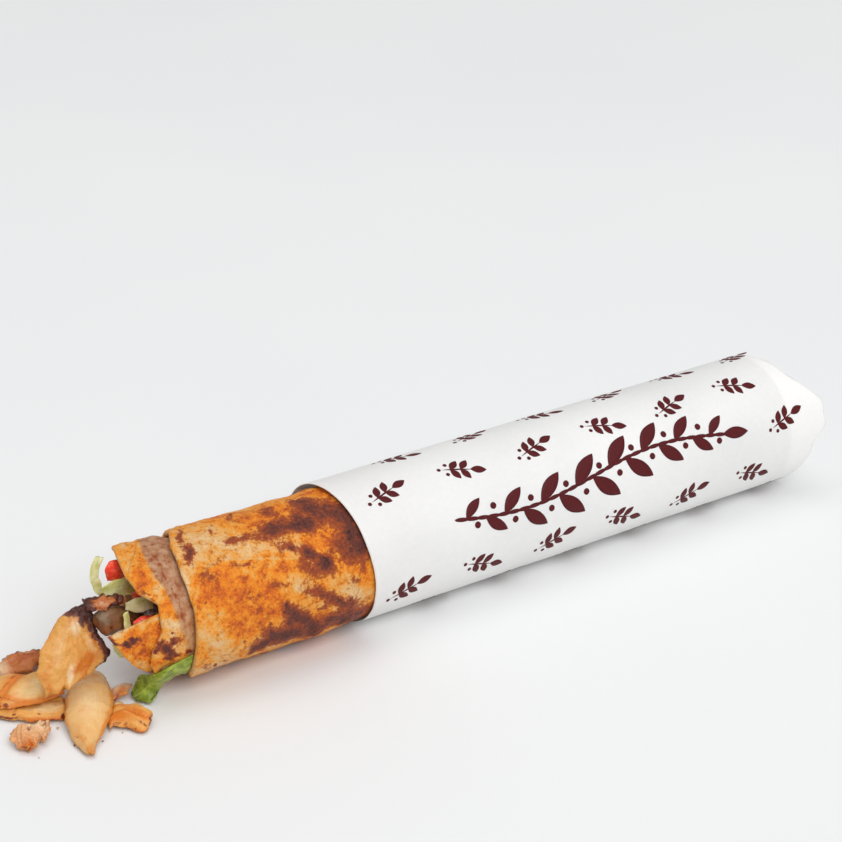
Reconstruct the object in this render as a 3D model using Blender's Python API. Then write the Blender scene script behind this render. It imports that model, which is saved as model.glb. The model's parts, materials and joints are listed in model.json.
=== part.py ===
"""Doner kebab wrap: rolled flatbread filled with chicken, tomato and lettuce, in a closed paper sleeve.

Frame: +X runs along the roll, from the open mouth to the folded end of the sleeve, and +Z is up.
The near side is -Y. The origin is on the floor under the middle of the sleeve. Sizes are in metres.
An angle round the roll is in degrees from the top, and grows towards the near side (90 is -Y).
"""

import bpy
import numpy as np

# ------------------------------------------------------------------ driving dimensions

FLOOR_GAP = 0.0004  # food lying on the floor clears it by about this

SLEEVE_RADIUS = 0.028
SLEEVE_WALL = 0.0005
SLEEVE_FLATTENING = 1.028  # how far the round section would reach below the floor that cuts it flat
SLEEVE_RIM_X = -0.110
SLEEVE_RIM_SLANT_SIDE = 0.0016
SLEEVE_RIM_SLANT_NEAR = 0.0030
SLEEVE_CAVITY_END_X = 0.0972
SLEEVE_SEGMENTS = 44

BREAD_CENTRE_Z = 0.0272
BREAD_RADIUS = 0.0264
BREAD_WALL = 0.0018
BREAD_END_X = 0.0966
BREAD_SEGMENTS = 40

INNER_CENTRE_Z = 0.0265  # the inner turns and the filling share this axis
INNER_RADIUS = 0.0235
FOLD_RADIUS = 0.0217
INNER_WALL = 0.0014
INNER_END_X = 0.0934
FOLD_END_X = 0.0906
FILLING_RADIUS = 0.0198
FILLING_FRONT_X = -0.1868
FILLING_END_X = 0.0878

FLAP_HEIGHT = 0.0008  # step where the sheet's free edge lies over the turn below it
FLAP_START = (-0.1630, 33.0)  # x and angle where that edge leaves the front corner
FLAP_TWIST = 640.0  # degrees a metre: how the free edge spirals round the roll
FLAP_TWIST_FROM = -0.004  # the grid turns with the edge from here to there along the roll
FLAP_TWIST_TO = 0.045
INNER_STRAIGHT_X = -0.1700  # the inner turns are plain tubes from here on
INNER_RELIEF = 0.4  # share of the outer turn's relief
INNER_BACK_FULLNESS = 0.0012  # the middle turn fills the outer one at its top back side

# Fronts of the bread turns: (angle, x) round the roll, read as one smooth closed curve.
BREAD_FRONT = (
    (-180, -0.1740), (-60, -0.1700), (-25, -0.1715), (5, -0.1775), (35, -0.1795), (70, -0.1798),
    (100, -0.1805), (128, -0.1815), (150, -0.1780),
)
INNER_FRONT = (
    (-180, -0.1890), (-70, -0.1880), (-46, -0.1890), (-32, -0.1930), (-10, -0.1950), (12, -0.1965),
    (34, -0.1957), (42, -0.1932), (50, -0.1904), (75, -0.1913), (93, -0.1955), (110, -0.1962),
    (128, -0.1935), (150, -0.1890),
)
FOLD_FRONT = (
    (-180, -0.1870), (-60, -0.1870), (0, -0.1870), (52, -0.1870), (58, -0.1905), (65, -0.2105),
    (76, -0.2085), (94, -0.2048), (108, -0.2018), (122, -0.1978), (136, -0.1925), (152, -0.1880),
)
FOLD_KEY_ANGLES = (52, 58, 65)  # the tongue's upper edge needs points just here

# Far end of the sleeve: (angle, x) of the folded edge. The hood over its near side reaches furthest.
SLEEVE_END = (
    (-180, 0.1045), (-100, 0.1045), (-40, 0.1015), (0, 0.1025), (30, 0.1060), (45, 0.1120),
    (60, 0.1172), (84, 0.1170), (93, 0.1112), (120, 0.1100), (150, 0.1070),
)


# ------------------------------------------------------------------ materials

def srgb_to_linear(value):
    return value / 12.92 if value <= 0.04045 else ((value + 0.055) / 1.055) ** 2.4


def material(name, hex_colour, roughness):
    made = bpy.data.materials.new(name)
    made.use_nodes = True
    shader = made.node_tree.nodes["Principled BSDF"]
    channels = [srgb_to_linear(int(hex_colour[i:i + 2], 16) / 255) for i in (0, 2, 4)]
    shader.inputs["Base Color"].default_value = (*channels, 1.0)
    shader.inputs["Roughness"].default_value = roughness
    shader.inputs["Metallic"].default_value = 0.0
    return made


# ------------------------------------------------------------------ small numeric helpers

def smooth_step(value):
    t = np.clip(value, 0.0, 1.0)
    return t * t * (3 - 2 * t)


def bump(angle, centre, width):
    """A round bump of height 1 at centre, in degrees and wrapped round the roll."""
    away = (np.asarray(angle) - centre + 180) % 360 - 180
    return np.exp(-(away / width) ** 2)


def round_profile(points, angle):
    """The closed curve through (angle, value) points, linear between them, at each angle."""
    at, value = np.array(points, float).T
    wrapped = (np.asarray(angle) + 180) % 360 - 180
    return np.interp(wrapped, at, value, period=360)


def curve_through(points, count):
    """Catmull-Rom curve through control points, sampled evenly in its parameter."""
    held = np.array(points, float)
    padded = np.vstack([2 * held[0] - held[1], held, 2 * held[-1] - held[-2]])
    at = np.linspace(0, len(held) - 1, count)
    span = np.minimum(at.astype(int), len(held) - 2)
    t = (at - span)[:, None]
    a, b, c, d = (padded[span + k] for k in range(4))
    return 0.5 * (2 * b + (c - a) * t + (2 * a - 5 * b + 4 * c - d) * t ** 2
                  + (3 * b - a - 3 * c + d) * t ** 3)


def read_keys(keys, u):
    """Values or vectors spread evenly over 0 to 1, read at each u, linear between them."""
    held = np.atleast_2d(np.array(keys, float).T)
    at = np.linspace(0, 1, held.shape[1])
    read = np.array([np.interp(u, at, row) for row in held]).T
    return read[:, 0] if np.ndim(keys[0]) == 0 else read


def unit(vectors):
    return vectors / np.linalg.norm(vectors, axis=-1, keepdims=True)


def square_to(tangent, wanted):
    """The unit direction nearest to wanted that is square to the tangent, at each station."""
    return unit(wanted - tangent * np.sum(wanted * tangent, axis=1, keepdims=True))


# ------------------------------------------------------------------ mesh builders

def make_object(name, vertices, faces, finish):
    """A mesh object with its faces pointing out."""
    corners = vertices[np.array(faces)]
    volume = np.einsum("ij,ij->", corners[:, 0], np.cross(corners[:, 1], corners[:, 2]))
    if volume < 0:
        faces = [face[::-1] for face in faces]
    mesh = bpy.data.meshes.new(name)
    mesh.from_pydata(vertices.tolist(), [], faces)
    mesh.materials.append(finish)
    mesh.shade_smooth()
    mesh.update()
    made = bpy.data.objects.new(name, mesh)
    bpy.context.collection.objects.link(made)
    return made


def solid_of_rings(name, rings, finish, inside_from=None):
    """Joins closed rings in order and closes both ends on a pole. From ring inside_from on, the
    diagonals turn over, so that the two faces of a thin wall are split alike."""
    count, around = rings.shape[:2]
    vertices = np.vstack([rings.reshape(-1, 3), rings[0].mean(axis=0), rings[-1].mean(axis=0)])
    faces = []
    for i in range(count - 1):
        turned = inside_from is not None and i >= inside_from
        for j in range(around):
            k = (j + 1) % around
            a, b, c, d = i * around + j, i * around + k, (i + 1) * around + k, (i + 1) * around + j
            faces += [(a, b, d), (b, c, d)] if turned else [(a, b, c), (a, c, d)]
    for pole, ring, flip in ((len(vertices) - 2, 0, True), (len(vertices) - 1, count - 1, False)):
        for j in range(around):
            pair = (ring * around + j, ring * around + (j + 1) % around)
            faces.append((pair[1], pair[0], pole) if flip else (pair[0], pair[1], pole))
    return make_object(name, vertices, faces, finish)


def blade(name, spine, across, half_widths, half_thicknesses, finish,
          arch=0.0, ruffle=0.0, seed=0, stations=10, sides=12):
    """A shaving, shred or wedge: a flattened section carried along a spine, its width along
    across."""
    u = np.linspace(0, 1, stations)
    centre = curve_through(spine, stations)
    wide = square_to(unit(np.gradient(centre, axis=0)), read_keys(across, u))
    wide = wide * read_keys(half_widths, u)[:, None]
    return flattened_solid(name, centre, wide, half_thicknesses, finish, arch, ruffle, seed, sides)


def slab(name, left, right, half_thicknesses, finish,
         arch=0.0, ruffle=0.0, seed=0, stations=14, sides=14):
    """A slice whose flattened sections run from one edge curve to the other."""
    edges = curve_through(left, stations), curve_through(right, stations)
    centre = (edges[0] + edges[1]) / 2
    wide = (edges[1] - edges[0]) / 2
    return flattened_solid(name, centre, wide, half_thicknesses, finish, arch, ruffle, seed, sides)


def flattened_solid(name, centre, wide, half_thicknesses, finish, arch, ruffle, seed, sides):
    """Joins flattened sections: wide is each one's half width, arch lifts its middle, and ruffle
    waves it and notches its edges."""
    draw = np.random.default_rng(seed)
    u = np.linspace(0, 1, len(centre))
    up = unit(np.cross(np.gradient(centre, axis=0), wide))
    up = up if up[:, 2].sum() > 0 else -up
    thick = read_keys(half_thicknesses, u)
    angle = np.linspace(0, 2 * np.pi, sides, endpoint=False)
    cos, sin = np.cos(angle), np.sin(angle)
    phase = draw.uniform(0, 2 * np.pi, 4)
    wave = np.sin(7.0 * u[:, None] + 2.5 * cos + phase[0])
    wave = wave + 0.6 * np.sin(15.0 * u[:, None] - 3.5 * cos + phase[1])
    edge = np.sin(19.0 * u[:, None] + phase[2] + np.where(cos > 0, 0.0, 1.7))
    reach = (1 + 0.5 * ruffle / np.linalg.norm(wide, axis=1).max() * edge) * cos
    lift = thick[:, None] * sin + arch * (1 - cos ** 2) + 0.45 * ruffle * wave
    rings = centre[:, None] + wide[:, None] * reach[..., None] + up[:, None] * lift[..., None]
    low = rings[..., 2] < FLOOR_GAP
    rings[..., 2] = np.where(low, FLOOR_GAP + 0.05 * (rings[..., 2] - FLOOR_GAP), rings[..., 2])
    return solid_of_rings(name, rings, finish)


def thin_leaf(name, upper, lower, arch, thickness, wave, finish, stations=15, columns=8):
    """A thin wavy leaf between two edge curves: one grid of points and the same grid moved by its
    thickness, split alike."""
    u = np.linspace(0, 1, stations)[:, None]
    v = np.linspace(0, 1, columns)
    edges = curve_through(upper, stations), curve_through(lower, stations)
    face = edges[0][:, None] + (edges[1] - edges[0])[:, None] * v[:, None]
    normal = unit(np.cross(np.gradient(face, axis=0), np.gradient(face, axis=1)))
    ripple = wave * np.sin(11.0 * u + 4.4 * v) * (0.4 + 1.2 * np.abs(v - 0.5))
    rise = read_keys(arch, u[:, 0])[:, None] * 4 * v * (1 - v) + ripple * smooth_step(6 * u - 1)
    face = face + normal * rise[..., None]
    other = face - normal * thickness
    vertices = np.vstack([face.reshape(-1, 3), other.reshape(-1, 3)])
    size = stations * columns
    faces = []
    for i in range(stations - 1):
        for j in range(columns - 1):
            a, b = i * columns + j, i * columns + j + 1
            c, d = b + columns, a + columns
            faces += [(a, b, c), (a, c, d)]
            faces += [(size + a, size + c, size + b), (size + a, size + d, size + c)]
    rim = list(range(columns))
    rim += [i * columns + columns - 1 for i in range(1, stations)]
    rim += [(stations - 1) * columns + j for j in range(columns - 2, -1, -1)]
    rim += [i * columns for i in range(stations - 2, 0, -1)]
    for a, b in zip(rim, rim[1:] + rim[:1]):
        faces += [(a, size + a, size + b), (a, size + b, b)]
    return make_object(name, vertices, faces, finish)


# ------------------------------------------------------------------ paper sleeve

def sleeve_ring(x, radius, angle, floor_z):
    """One ring of the sleeve: round, and cut flat where it meets the floor."""
    radians = np.radians(angle)
    down = np.where(np.cos(radians) < 0, SLEEVE_FLATTENING, 1.0)
    y = -radius * np.sin(radians)
    z = SLEEVE_RADIUS + radius * down * np.cos(radians)
    return np.stack([np.broadcast_to(x, y.shape), y, np.maximum(z, floor_z)], axis=-1)


def sleeve_rim_x(angle):
    radians = np.radians(angle)
    return (SLEEVE_RIM_X - SLEEVE_RIM_SLANT_SIDE * np.cos(radians)
            + SLEEVE_RIM_SLANT_NEAR * np.sin(radians))


def make_sleeve(finish):
    angle = np.linspace(-180, 180, SLEEVE_SEGMENTS, endpoint=False)
    folded_x = round_profile(SLEEVE_END, angle)
    rim_x = sleeve_rim_x(angle)
    radius = SLEEVE_RADIUS
    inner = SLEEVE_RADIUS - SLEEVE_WALL
    rings = []
    # The folded end: pleated paper drawn in to the middle, a little hollow there.
    for share, out in ((0.12, -0.0015), (0.35, 0.0), (0.6, 0.0015), (0.82, 0.0016), (0.94, 0.0006)):
        flat = folded_x.mean() + share * (folded_x - folded_x.mean()) + out
        pleat = 0.0006 * np.cos(np.radians(7 * angle)) * share
        rings.append(sleeve_ring(flat + pleat, radius * share, angle, 0.0))
    for back in (0.0012, 0.0050, 0.0120):
        shrink = 0.0004 if back < 0.002 else 0.0
        rings.append(sleeve_ring(folded_x - back, radius - shrink, angle, 0.0))
    for x in np.linspace(0.070, -0.080, 4):
        rings.append(sleeve_ring(x, radius, angle, 0.0))
    rings.append(sleeve_ring(rim_x, radius, angle, 0.0))
    outside = len(rings) - 1
    rings.append(sleeve_ring(rim_x, inner, angle, SLEEVE_WALL))
    for x in (-0.080, 0.0, SLEEVE_CAVITY_END_X):
        rings.append(sleeve_ring(x, inner, angle, SLEEVE_WALL))
    return solid_of_rings("paper_sleeve", np.array(rings), finish, inside_from=outside)


# ------------------------------------------------------------------ flatbread turns

def bread_relief(x, angle, held_from, fade):
    """Low swells of the baked sheet, the same for every turn so that they nest. They fade out from
    held_from on, where a turn is held by what is round it."""
    radians = np.radians(angle)
    swell = 0.00030 * np.sin(3 * radians + x * 95) + 0.00022 * np.sin(5 * radians - x * 210 + 1.0)
    swell = swell + 0.00016 * np.sin(2 * radians + x * 330 + 2.1)
    return swell * smooth_step((held_from - x) / fade)


def roll_ring(x, radius, angle, centre_z):
    """One ring of the roll at x. What would reach the floor is pressed flat just above it."""
    radians = np.radians(angle)
    z = centre_z + radius * np.cos(radians)
    z = np.where(z < FLOOR_GAP, FLOOR_GAP + 0.05 * (z - FLOOR_GAP), z)
    return np.stack([x + 0 * z, -radius * np.sin(radians), z], axis=-1)


def make_turn(name, front, radius, wall, centre_z, end_x, outside, inside, finish):
    """A turn of bread: a tube with a rounded front edge, closed at its hidden end. outside and
    inside each give the angles of a ring's points and what is added to their radius, both as
    functions of x, and the x of each ring behind the front edge as a function of that edge."""
    front_x = round_profile(front, outside["angle"](-1.0))
    at_end = outside["angle"](end_x)
    rings = [roll_ring(np.full(at_end.shape, end_x), radius * share, at_end, centre_z)
             for share in (0.35, 0.8)]

    def add_ring(x, depth, face):
        rings.append(roll_ring(x, radius - depth + face["swell"](x), face["angle"](x), centre_z))

    add_ring(np.full(at_end.shape, end_x - 0.001), 0.0, outside)
    for x in outside["stations"](front_x)[::-1]:
        add_ring(x, 0.0, outside)
    add_ring(front_x + 0.35 * wall, 0.12 * wall, outside)
    add_ring(front_x, 0.5 * wall, outside)
    turn_over = len(rings) - 1
    add_ring(front_x + 0.35 * wall, 0.88 * wall, inside)
    for x in inside["stations"](front_x):
        add_ring(x, wall, inside)
    add_ring(np.full(at_end.shape, end_x - 0.001 - wall), wall, inside)
    return solid_of_rings(name, np.array(rings), finish, inside_from=turn_over)


def rings_behind(*distances):
    """Ring places at set distances behind the front edge."""
    return lambda front_x: [front_x + back for back in distances]


def rings_between(first, straight_x, shares):
    """Ring places spread by shares from just behind the front edge to a plane across the roll."""
    return lambda front_x: [front_x + first + share * (straight_x - front_x - first)
                            for share in shares]


def flap_step(x, angle):
    """The sheet's free edge over the turn below: a step that starts at a rounded front corner."""
    over = smooth_step((angle - FLAP_START[1] + 1.0) / 9.0)
    corner = 0.00016 * np.clip(60 - angle, 0, 30)
    behind = smooth_step((x + 0.1755 + corner) / 0.0030)
    fade = 1 - smooth_step((angle - 105) / 45)
    held = 1 - smooth_step((x + 0.1165) / 0.004)
    return FLAP_HEIGHT * over * behind * fade * held


def make_outer_bread(finish):
    """The outer face's grid turns with the sheet's free edge, so that a row of points runs along
    it. The inner face is plain."""
    base = np.linspace(-180, 180, BREAD_SEGMENTS, endpoint=False) + FLAP_START[1] % 9
    front_turn = FLAP_TWIST * FLAP_TWIST_FROM

    def turned(x):
        return base + FLAP_TWIST * np.clip(x - FLAP_START[0], FLAP_TWIST_FROM, FLAP_TWIST_TO)

    def swell(x):
        resting = 0.0006 * bump(turned(x), 142, 45) * smooth_step((-0.112 - x) / 0.020)
        return bread_relief(x, turned(x), -0.108, 0.012) + flap_step(x, base) + resting

    outside = {"angle": turned, "swell": swell, "stations": rings_behind(
        0.0012, 0.0035, 0.0062, 0.0095, 0.014, 0.0195, 0.026, 0.0335, 0.0415, 0.050, 0.058,
        0.0655, 0.075, 0.150)}
    inside = {"angle": lambda x: base + front_turn, "swell": lambda x: 0.0 * x,
              "stations": rings_behind(0.0035, 0.0195, 0.150)}
    make_turn("outer_bread", BREAD_FRONT, BREAD_RADIUS, BREAD_WALL, BREAD_CENTRE_Z, BREAD_END_X,
              outside, inside, finish)


def mouth_pinch(x):
    """How much the inner turns draw in where they stand out of the outer one."""
    return 0.0012 * np.clip((-0.184 - x) / 0.012, 0, 1)


def make_inner_turns(finish, fold_finish):
    """The middle turn, whose top back corner lifts at the mouth, and the innermost one, whose near
    corner reaches out as a tongue."""
    even = np.linspace(-180, 180, BREAD_SEGMENTS, endpoint=False)
    keyed = np.union1d(np.linspace(-180, 180, BREAD_SEGMENTS - 4, endpoint=False), FOLD_KEY_ANGLES)

    def inner_swell(x):
        fuller = INNER_BACK_FULLNESS * bump(even, -40, 38)
        lifted = 0.0024 * bump(even, -33, 20) * smooth_step((-0.1712 - x) / 0.0060)
        relief = INNER_RELIEF * bread_relief(x, even, -0.1805, 0.004)
        return fuller + lifted + relief - mouth_pinch(x) * (1 - bump(even, -40, 38))

    def fold_swell(x):
        return INNER_RELIEF * bread_relief(x, keyed, -0.1805, 0.004) - mouth_pinch(x)

    outer_rings = rings_between(0.0012, INNER_STRAIGHT_X, (0.0, 0.18, 0.4, 0.65, 0.85, 1.0))
    inner_rings = rings_between(0.0012, INNER_STRAIGHT_X, (0.0, 0.4, 0.7, 1.0))
    for name, front, radius, end_x, angle, swell, look in (
            ("inner_bread", INNER_FRONT, INNER_RADIUS, INNER_END_X, even, inner_swell, finish),
            ("bread_fold", FOLD_FRONT, FOLD_RADIUS, FOLD_END_X, keyed, fold_swell, fold_finish)):
        outside = {"angle": lambda x, a=angle: a, "swell": swell, "stations": outer_rings}
        inside = {"angle": lambda x, a=angle: a, "swell": swell, "stations": inner_rings}
        make_turn(name, front, radius, INNER_WALL, INNER_CENTRE_Z, end_x, outside, inside, look)


def make_filling(finish):
    """Chopped chicken filling the roll: a lumpy front, and a plain core out to the hidden end."""
    angle = np.linspace(-180, 180, 30, endpoint=False)
    radians = np.radians(angle)
    rings = []
    for share in (0.3, 0.62, 0.88, 1.0):
        lump = 0.0011 * np.sin(4 * radians + 9 * share) + 0.0008 * np.sin(7 * radians - 11 * share)
        x = FILLING_FRONT_X + 0.0016 + 0.0035 * share ** 4 + lump * (0.3 + share * (1.2 - share))
        rings.append(roll_ring(x, FILLING_RADIUS * share - 0.0016, angle, INNER_CENTRE_Z))
    for x in (-0.176, -0.150, 0.0, FILLING_END_X - 0.002):
        rings.append(roll_ring(np.full(angle.shape, x), FILLING_RADIUS, angle, INNER_CENTRE_Z))
    rings.append(roll_ring(np.full(angle.shape, FILLING_END_X), 0.6 * FILLING_RADIUS, angle,
                           INNER_CENTRE_Z))
    return solid_of_rings("chicken_filling", np.array(rings), finish)


# ------------------------------------------------------------------ pieces in the mouth

UPRIGHT = ((0.0, 0.0, 1.0), (0.0, 0.0, 1.0))
SIDEWAYS = ((0.0, 1.0, 0.0), (0.0, 1.0, 0.0))


def make_tomato(finish):
    blade("tomato_upper",
          ((-0.1981, 0.0085, 0.0424), (-0.1940, 0.0090, 0.0428), (-0.1897, 0.0095, 0.0412)),
          UPRIGHT, (0.0026, 0.0047, 0.0038, 0.0018), (0.0010, 0.0026, 0.0026, 0.0010), finish,
          stations=8, sides=10, seed=1)
    blade("tomato_deep",
          ((-0.1928, -0.0010, 0.0362), (-0.1903, -0.0008, 0.0362), (-0.1880, -0.0006, 0.0352)),
          UPRIGHT, (0.0018, 0.0032, 0.0020), (0.0009, 0.0019, 0.0009), finish,
          stations=6, sides=8, seed=2)
    blade("tomato_lower",
          ((-0.1970, -0.0102, 0.0304), (-0.1920, -0.0100, 0.0299), (-0.1872, -0.0092, 0.0288)),
          UPRIGHT, (0.0020, 0.0031, 0.0030, 0.0016), (0.0010, 0.0019, 0.0019, 0.0009), finish,
          stations=7, sides=10, seed=3)


def make_lettuce_shreds(finish):
    thin = (0.0004, 0.0007, 0.0007, 0.0004)
    blade("lettuce_hook",
          ((-0.2002, 0.0080, 0.0340), (-0.2022, 0.0082, 0.0398), (-0.2028, 0.0078, 0.0462),
           (-0.2008, 0.0070, 0.0514)),
          ((1.0, 0.2, 0.2), (1.0, -0.2, 0.3)), (0.0012, 0.0019, 0.0018, 0.0017), thin, finish,
          arch=0.0005, stations=10, sides=8, seed=4)
    blade("lettuce_upper",
          ((-0.2030, 0.0022, 0.0398), (-0.1985, 0.0020, 0.0402), (-0.1938, 0.0026, 0.0390),
           (-0.1885, 0.0036, 0.0358)),
          UPRIGHT, (0.0018, 0.0034, 0.0036, 0.0018), thin, finish,
          arch=-0.0006, stations=10, sides=8, seed=5)
    blade("lettuce_middle",
          ((-0.1976, -0.0056, 0.0366), (-0.1926, -0.0064, 0.0359), (-0.1872, -0.0062, 0.0350)),
          ((0.0, -0.25, 1.0), (0.1, 0.1, 1.0)), (0.0018, 0.0032, 0.0032, 0.0020), thin, finish,
          arch=0.0005, stations=10, sides=8, seed=6)
    blade("lettuce_upright",
          ((-0.1985, -0.0092, 0.0262), (-0.1992, -0.0096, 0.0318), (-0.1990, -0.0092, 0.0368)),
          ((1.0, 0.3, 0.0),), (0.0009, 0.0015, 0.0009), thin, finish, stations=7, sides=8, seed=7)
    blade("lettuce_under",
          ((-0.2020, -0.0030, 0.0215), (-0.1990, -0.0026, 0.0170), (-0.1945, -0.0020, 0.0150)),
          ((0.3, 0.3, 1.0),), (0.0016, 0.0028, 0.0016), thin, finish, stations=7, sides=8, seed=8)


def make_mouth_chicken(stewed, charred):
    blade("chicken_chunk",
          ((-0.2080, -0.0052, 0.0312), (-0.2036, -0.0038, 0.0317), (-0.1964, -0.0006, 0.0288),
           (-0.1882, 0.0020, 0.0250)),
          SIDEWAYS, (0.0032, 0.0048, 0.0042, 0.0025), (0.0040, 0.0057, 0.0045, 0.0025), stewed,
          ruffle=0.0004, stations=10, sides=12, seed=9)
    slab("chicken_ridge",
         ((-0.2112, 0.0004, 0.0418), (-0.2064, 0.0002, 0.0405), (-0.2010, 0.0000, 0.0394),
          (-0.1962, 0.0000, 0.0380)),
         ((-0.2118, -0.0048, 0.0392), (-0.2066, -0.0066, 0.0384), (-0.2014, -0.0056, 0.0381),
          (-0.1972, -0.0040, 0.0374)),
         (0.0009, 0.0012, 0.0012, 0.0008), charred, arch=0.0004, ruffle=0.0004, seed=10,
         stations=10, sides=12)


# ------------------------------------------------------------------ pieces on the floor

def make_spilled_chicken(pale, seared):
    """Shavings that slid out of the mouth: four lie on the floor, and the rest lean on them."""
    slab("shaving_charred",
         ((-0.2168, 0.0026, 0.0365), (-0.2208, 0.0017, 0.0346), (-0.2246, 0.0001, 0.0314),
          (-0.2283, -0.0017, 0.0278), (-0.2310, -0.0036, 0.0240), (-0.2323, -0.0053, 0.0204),
          (-0.2325, -0.0072, 0.0165), (-0.2320, -0.0093, 0.0125)),
         ((-0.2083, 0.0040, 0.0377), (-0.2080, 0.0012, 0.0320), (-0.2073, -0.0016, 0.0273),
          (-0.2056, -0.0042, 0.0227), (-0.2061, -0.0062, 0.0185), (-0.2102, -0.0073, 0.0164),
          (-0.2154, -0.0084, 0.0148), (-0.2193, -0.0098, 0.0128)),
         (0.0018, 0.0020, 0.0016, 0.0014, 0.0012, 0.0009), seared, arch=0.0016, ruffle=0.0009,
         seed=21)
    blade("shaving_drop",
          ((-0.2075, 0.0070, 0.0032), (-0.2130, -0.0040, 0.0046), (-0.2188, -0.0148, 0.0046),
           (-0.2240, -0.0250, 0.0030), (-0.2271, -0.0345, 0.0015)),
          ((0.95, -0.30, 0.0),),
          (0.0042, 0.0080, 0.0087, 0.0055, 0.0012), (0.0020, 0.0032, 0.0030, 0.0020, 0.0009), pale,
          arch=0.0012, ruffle=0.0004, stations=13, sides=12, seed=22)
    slab("shaving_left",
         ((-0.2170, 0.0125, 0.0050), (-0.2205, 0.0165, 0.0052), (-0.2241, 0.0173, 0.0054),
          (-0.2301, 0.0196, 0.0052), (-0.2347, 0.0222, 0.0050), (-0.2402, 0.0232, 0.0042),
          (-0.2450, 0.0210, 0.0034)),
         ((-0.2222, -0.0030, 0.0070), (-0.2262, -0.0034, 0.0066), (-0.2305, -0.0029, 0.0064),
          (-0.2363, -0.0018, 0.0062), (-0.2418, 0.0016, 0.0058), (-0.2458, 0.0062, 0.0050),
          (-0.2482, 0.0100, 0.0040)),
         (0.0012, 0.0016, 0.0016, 0.0010), pale, arch=0.0014, ruffle=0.0008, stations=12, sides=12,
         seed=23)
    slab("shaving_under",
         ((-0.2213, 0.0020, 0.0028), (-0.2252, 0.0025, 0.0030), (-0.2296, 0.0028, 0.0030),
          (-0.2354, 0.0036, 0.0030), (-0.2406, 0.0058, 0.0028), (-0.2461, 0.0100, 0.0024)),
         ((-0.2247, -0.0086, 0.0011), (-0.2292, -0.0092, 0.0016), (-0.2344, -0.0070, 0.0016),
          (-0.2387, -0.0035, 0.0016), (-0.2426, 0.0006, 0.0016), (-0.2476, 0.0060, 0.0016)),
         (0.0008, 0.0014, 0.0014, 0.0008), pale, arch=0.0008, ruffle=0.0006, stations=12, sides=12,
         seed=24)
    blade("shaving_back",
          ((-0.2180, 0.0302, 0.0036), (-0.2260, 0.0285, 0.0042), (-0.2360, 0.0278, 0.0028)),
          ((0.40, 0.90, 0.0),), (0.0036, 0.0068, 0.0034), (0.0016, 0.0028, 0.0014), seared,
          ruffle=0.0010, stations=10, sides=12, seed=25)
    slab("shaving_right",
         ((-0.2094, -0.0144, 0.0009), (-0.2078, -0.0132, 0.0020), (-0.2050, -0.0136, 0.0028),
          (-0.2014, -0.0172, 0.0030), (-0.1994, -0.0212, 0.0026), (-0.1992, -0.0248, 0.0020)),
         ((-0.2158, -0.0243, 0.0007), (-0.2142, -0.0240, 0.0012), (-0.2114, -0.0246, 0.0018),
          (-0.2088, -0.0276, 0.0018), (-0.2052, -0.0318, 0.0018), (-0.2018, -0.0300, 0.0018)),
         (0.0006, 0.0013, 0.0017, 0.0017, 0.0010), pale, arch=0.0012, ruffle=0.0008, stations=11,
         sides=12, seed=26)
    blade("chicken_crumb",
          ((-0.2326, -0.0110, 0.0028), (-0.2364, -0.0136, 0.0034), (-0.2416, -0.0158, 0.0038),
           (-0.2440, -0.0220, 0.0024)),
          ((0.60, -0.70, 0.0),), (0.0016, 0.0036, 0.0050, 0.0022),
          (0.0012, 0.0024, 0.0028, 0.0014), pale, ruffle=0.0013, stations=9, sides=12, seed=27)
    blade("chicken_scrap",
          ((-0.2074, -0.0096, 0.0018), (-0.2040, -0.0077, 0.0030), (-0.2002, -0.0058, 0.0032),
           (-0.1968, -0.0046, 0.0026)),
          ((0.44, -0.90, 0.0),), (0.0012, 0.0030, 0.0024, 0.0008), (0.0006, 0.0012, 0.0012, 0.0006),
          seared,
          ruffle=0.0005, stations=8, sides=8, seed=28)


def make_lettuce_leaf(finish):
    """It comes out between two turns low on the near side, and falls forward to the floor."""
    thin_leaf("lettuce_leaf",
              ((-0.1812, -0.0243, 0.0205), (-0.1845, -0.0243, 0.0198), (-0.1880, -0.0240, 0.0188),
               (-0.1922, -0.0238, 0.0172), (-0.1953, -0.0188, 0.0138), (-0.1967, -0.0128, 0.0111),
               (-0.1977, -0.0097, 0.0068), (-0.1998, -0.0090, 0.0023)),
              ((-0.1822, -0.0186, 0.0095), (-0.1842, -0.0190, 0.0107), (-0.1870, -0.0184, 0.0100),
               (-0.1889, -0.0162, 0.0071), (-0.1906, -0.0157, 0.0048), (-0.1929, -0.0163, 0.0028),
               (-0.1960, -0.0168, 0.0016), (-0.1993, -0.0136, 0.0013)),
              (0.0010, 0.0008, 0.0004, 0.0003), 0.0005, 0.0004, finish)


# ------------------------------------------------------------------ build

def main():
    for old in list(bpy.data.objects):
        bpy.data.objects.remove(old)
    make_sleeve(material("printed sleeve paper", "f2f2ee", 0.55))
    baked = material("griddled flatbread", "df9a4c", 0.62)
    make_outer_bread(baked)
    make_inner_turns(material("steamed flatbread", "c08050", 0.65), baked)
    make_filling(material("chopped chicken", "8a5632", 0.6))
    chicken = material("carved chicken", "e6b070", 0.5)
    make_tomato(material("tomato flesh", "cf3522", 0.3))
    make_lettuce_shreds(material("iceberg lettuce", "c3b87c", 0.4))
    make_mouth_chicken(material("stewed chicken", "96694a", 0.45),
                       material("charred chicken skin", "5a2c20", 0.55))
    make_spilled_chicken(chicken, material("seared chicken", "b87038", 0.5))
    make_lettuce_leaf(material("green lettuce", "7d9a34", 0.4))


main()
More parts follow.
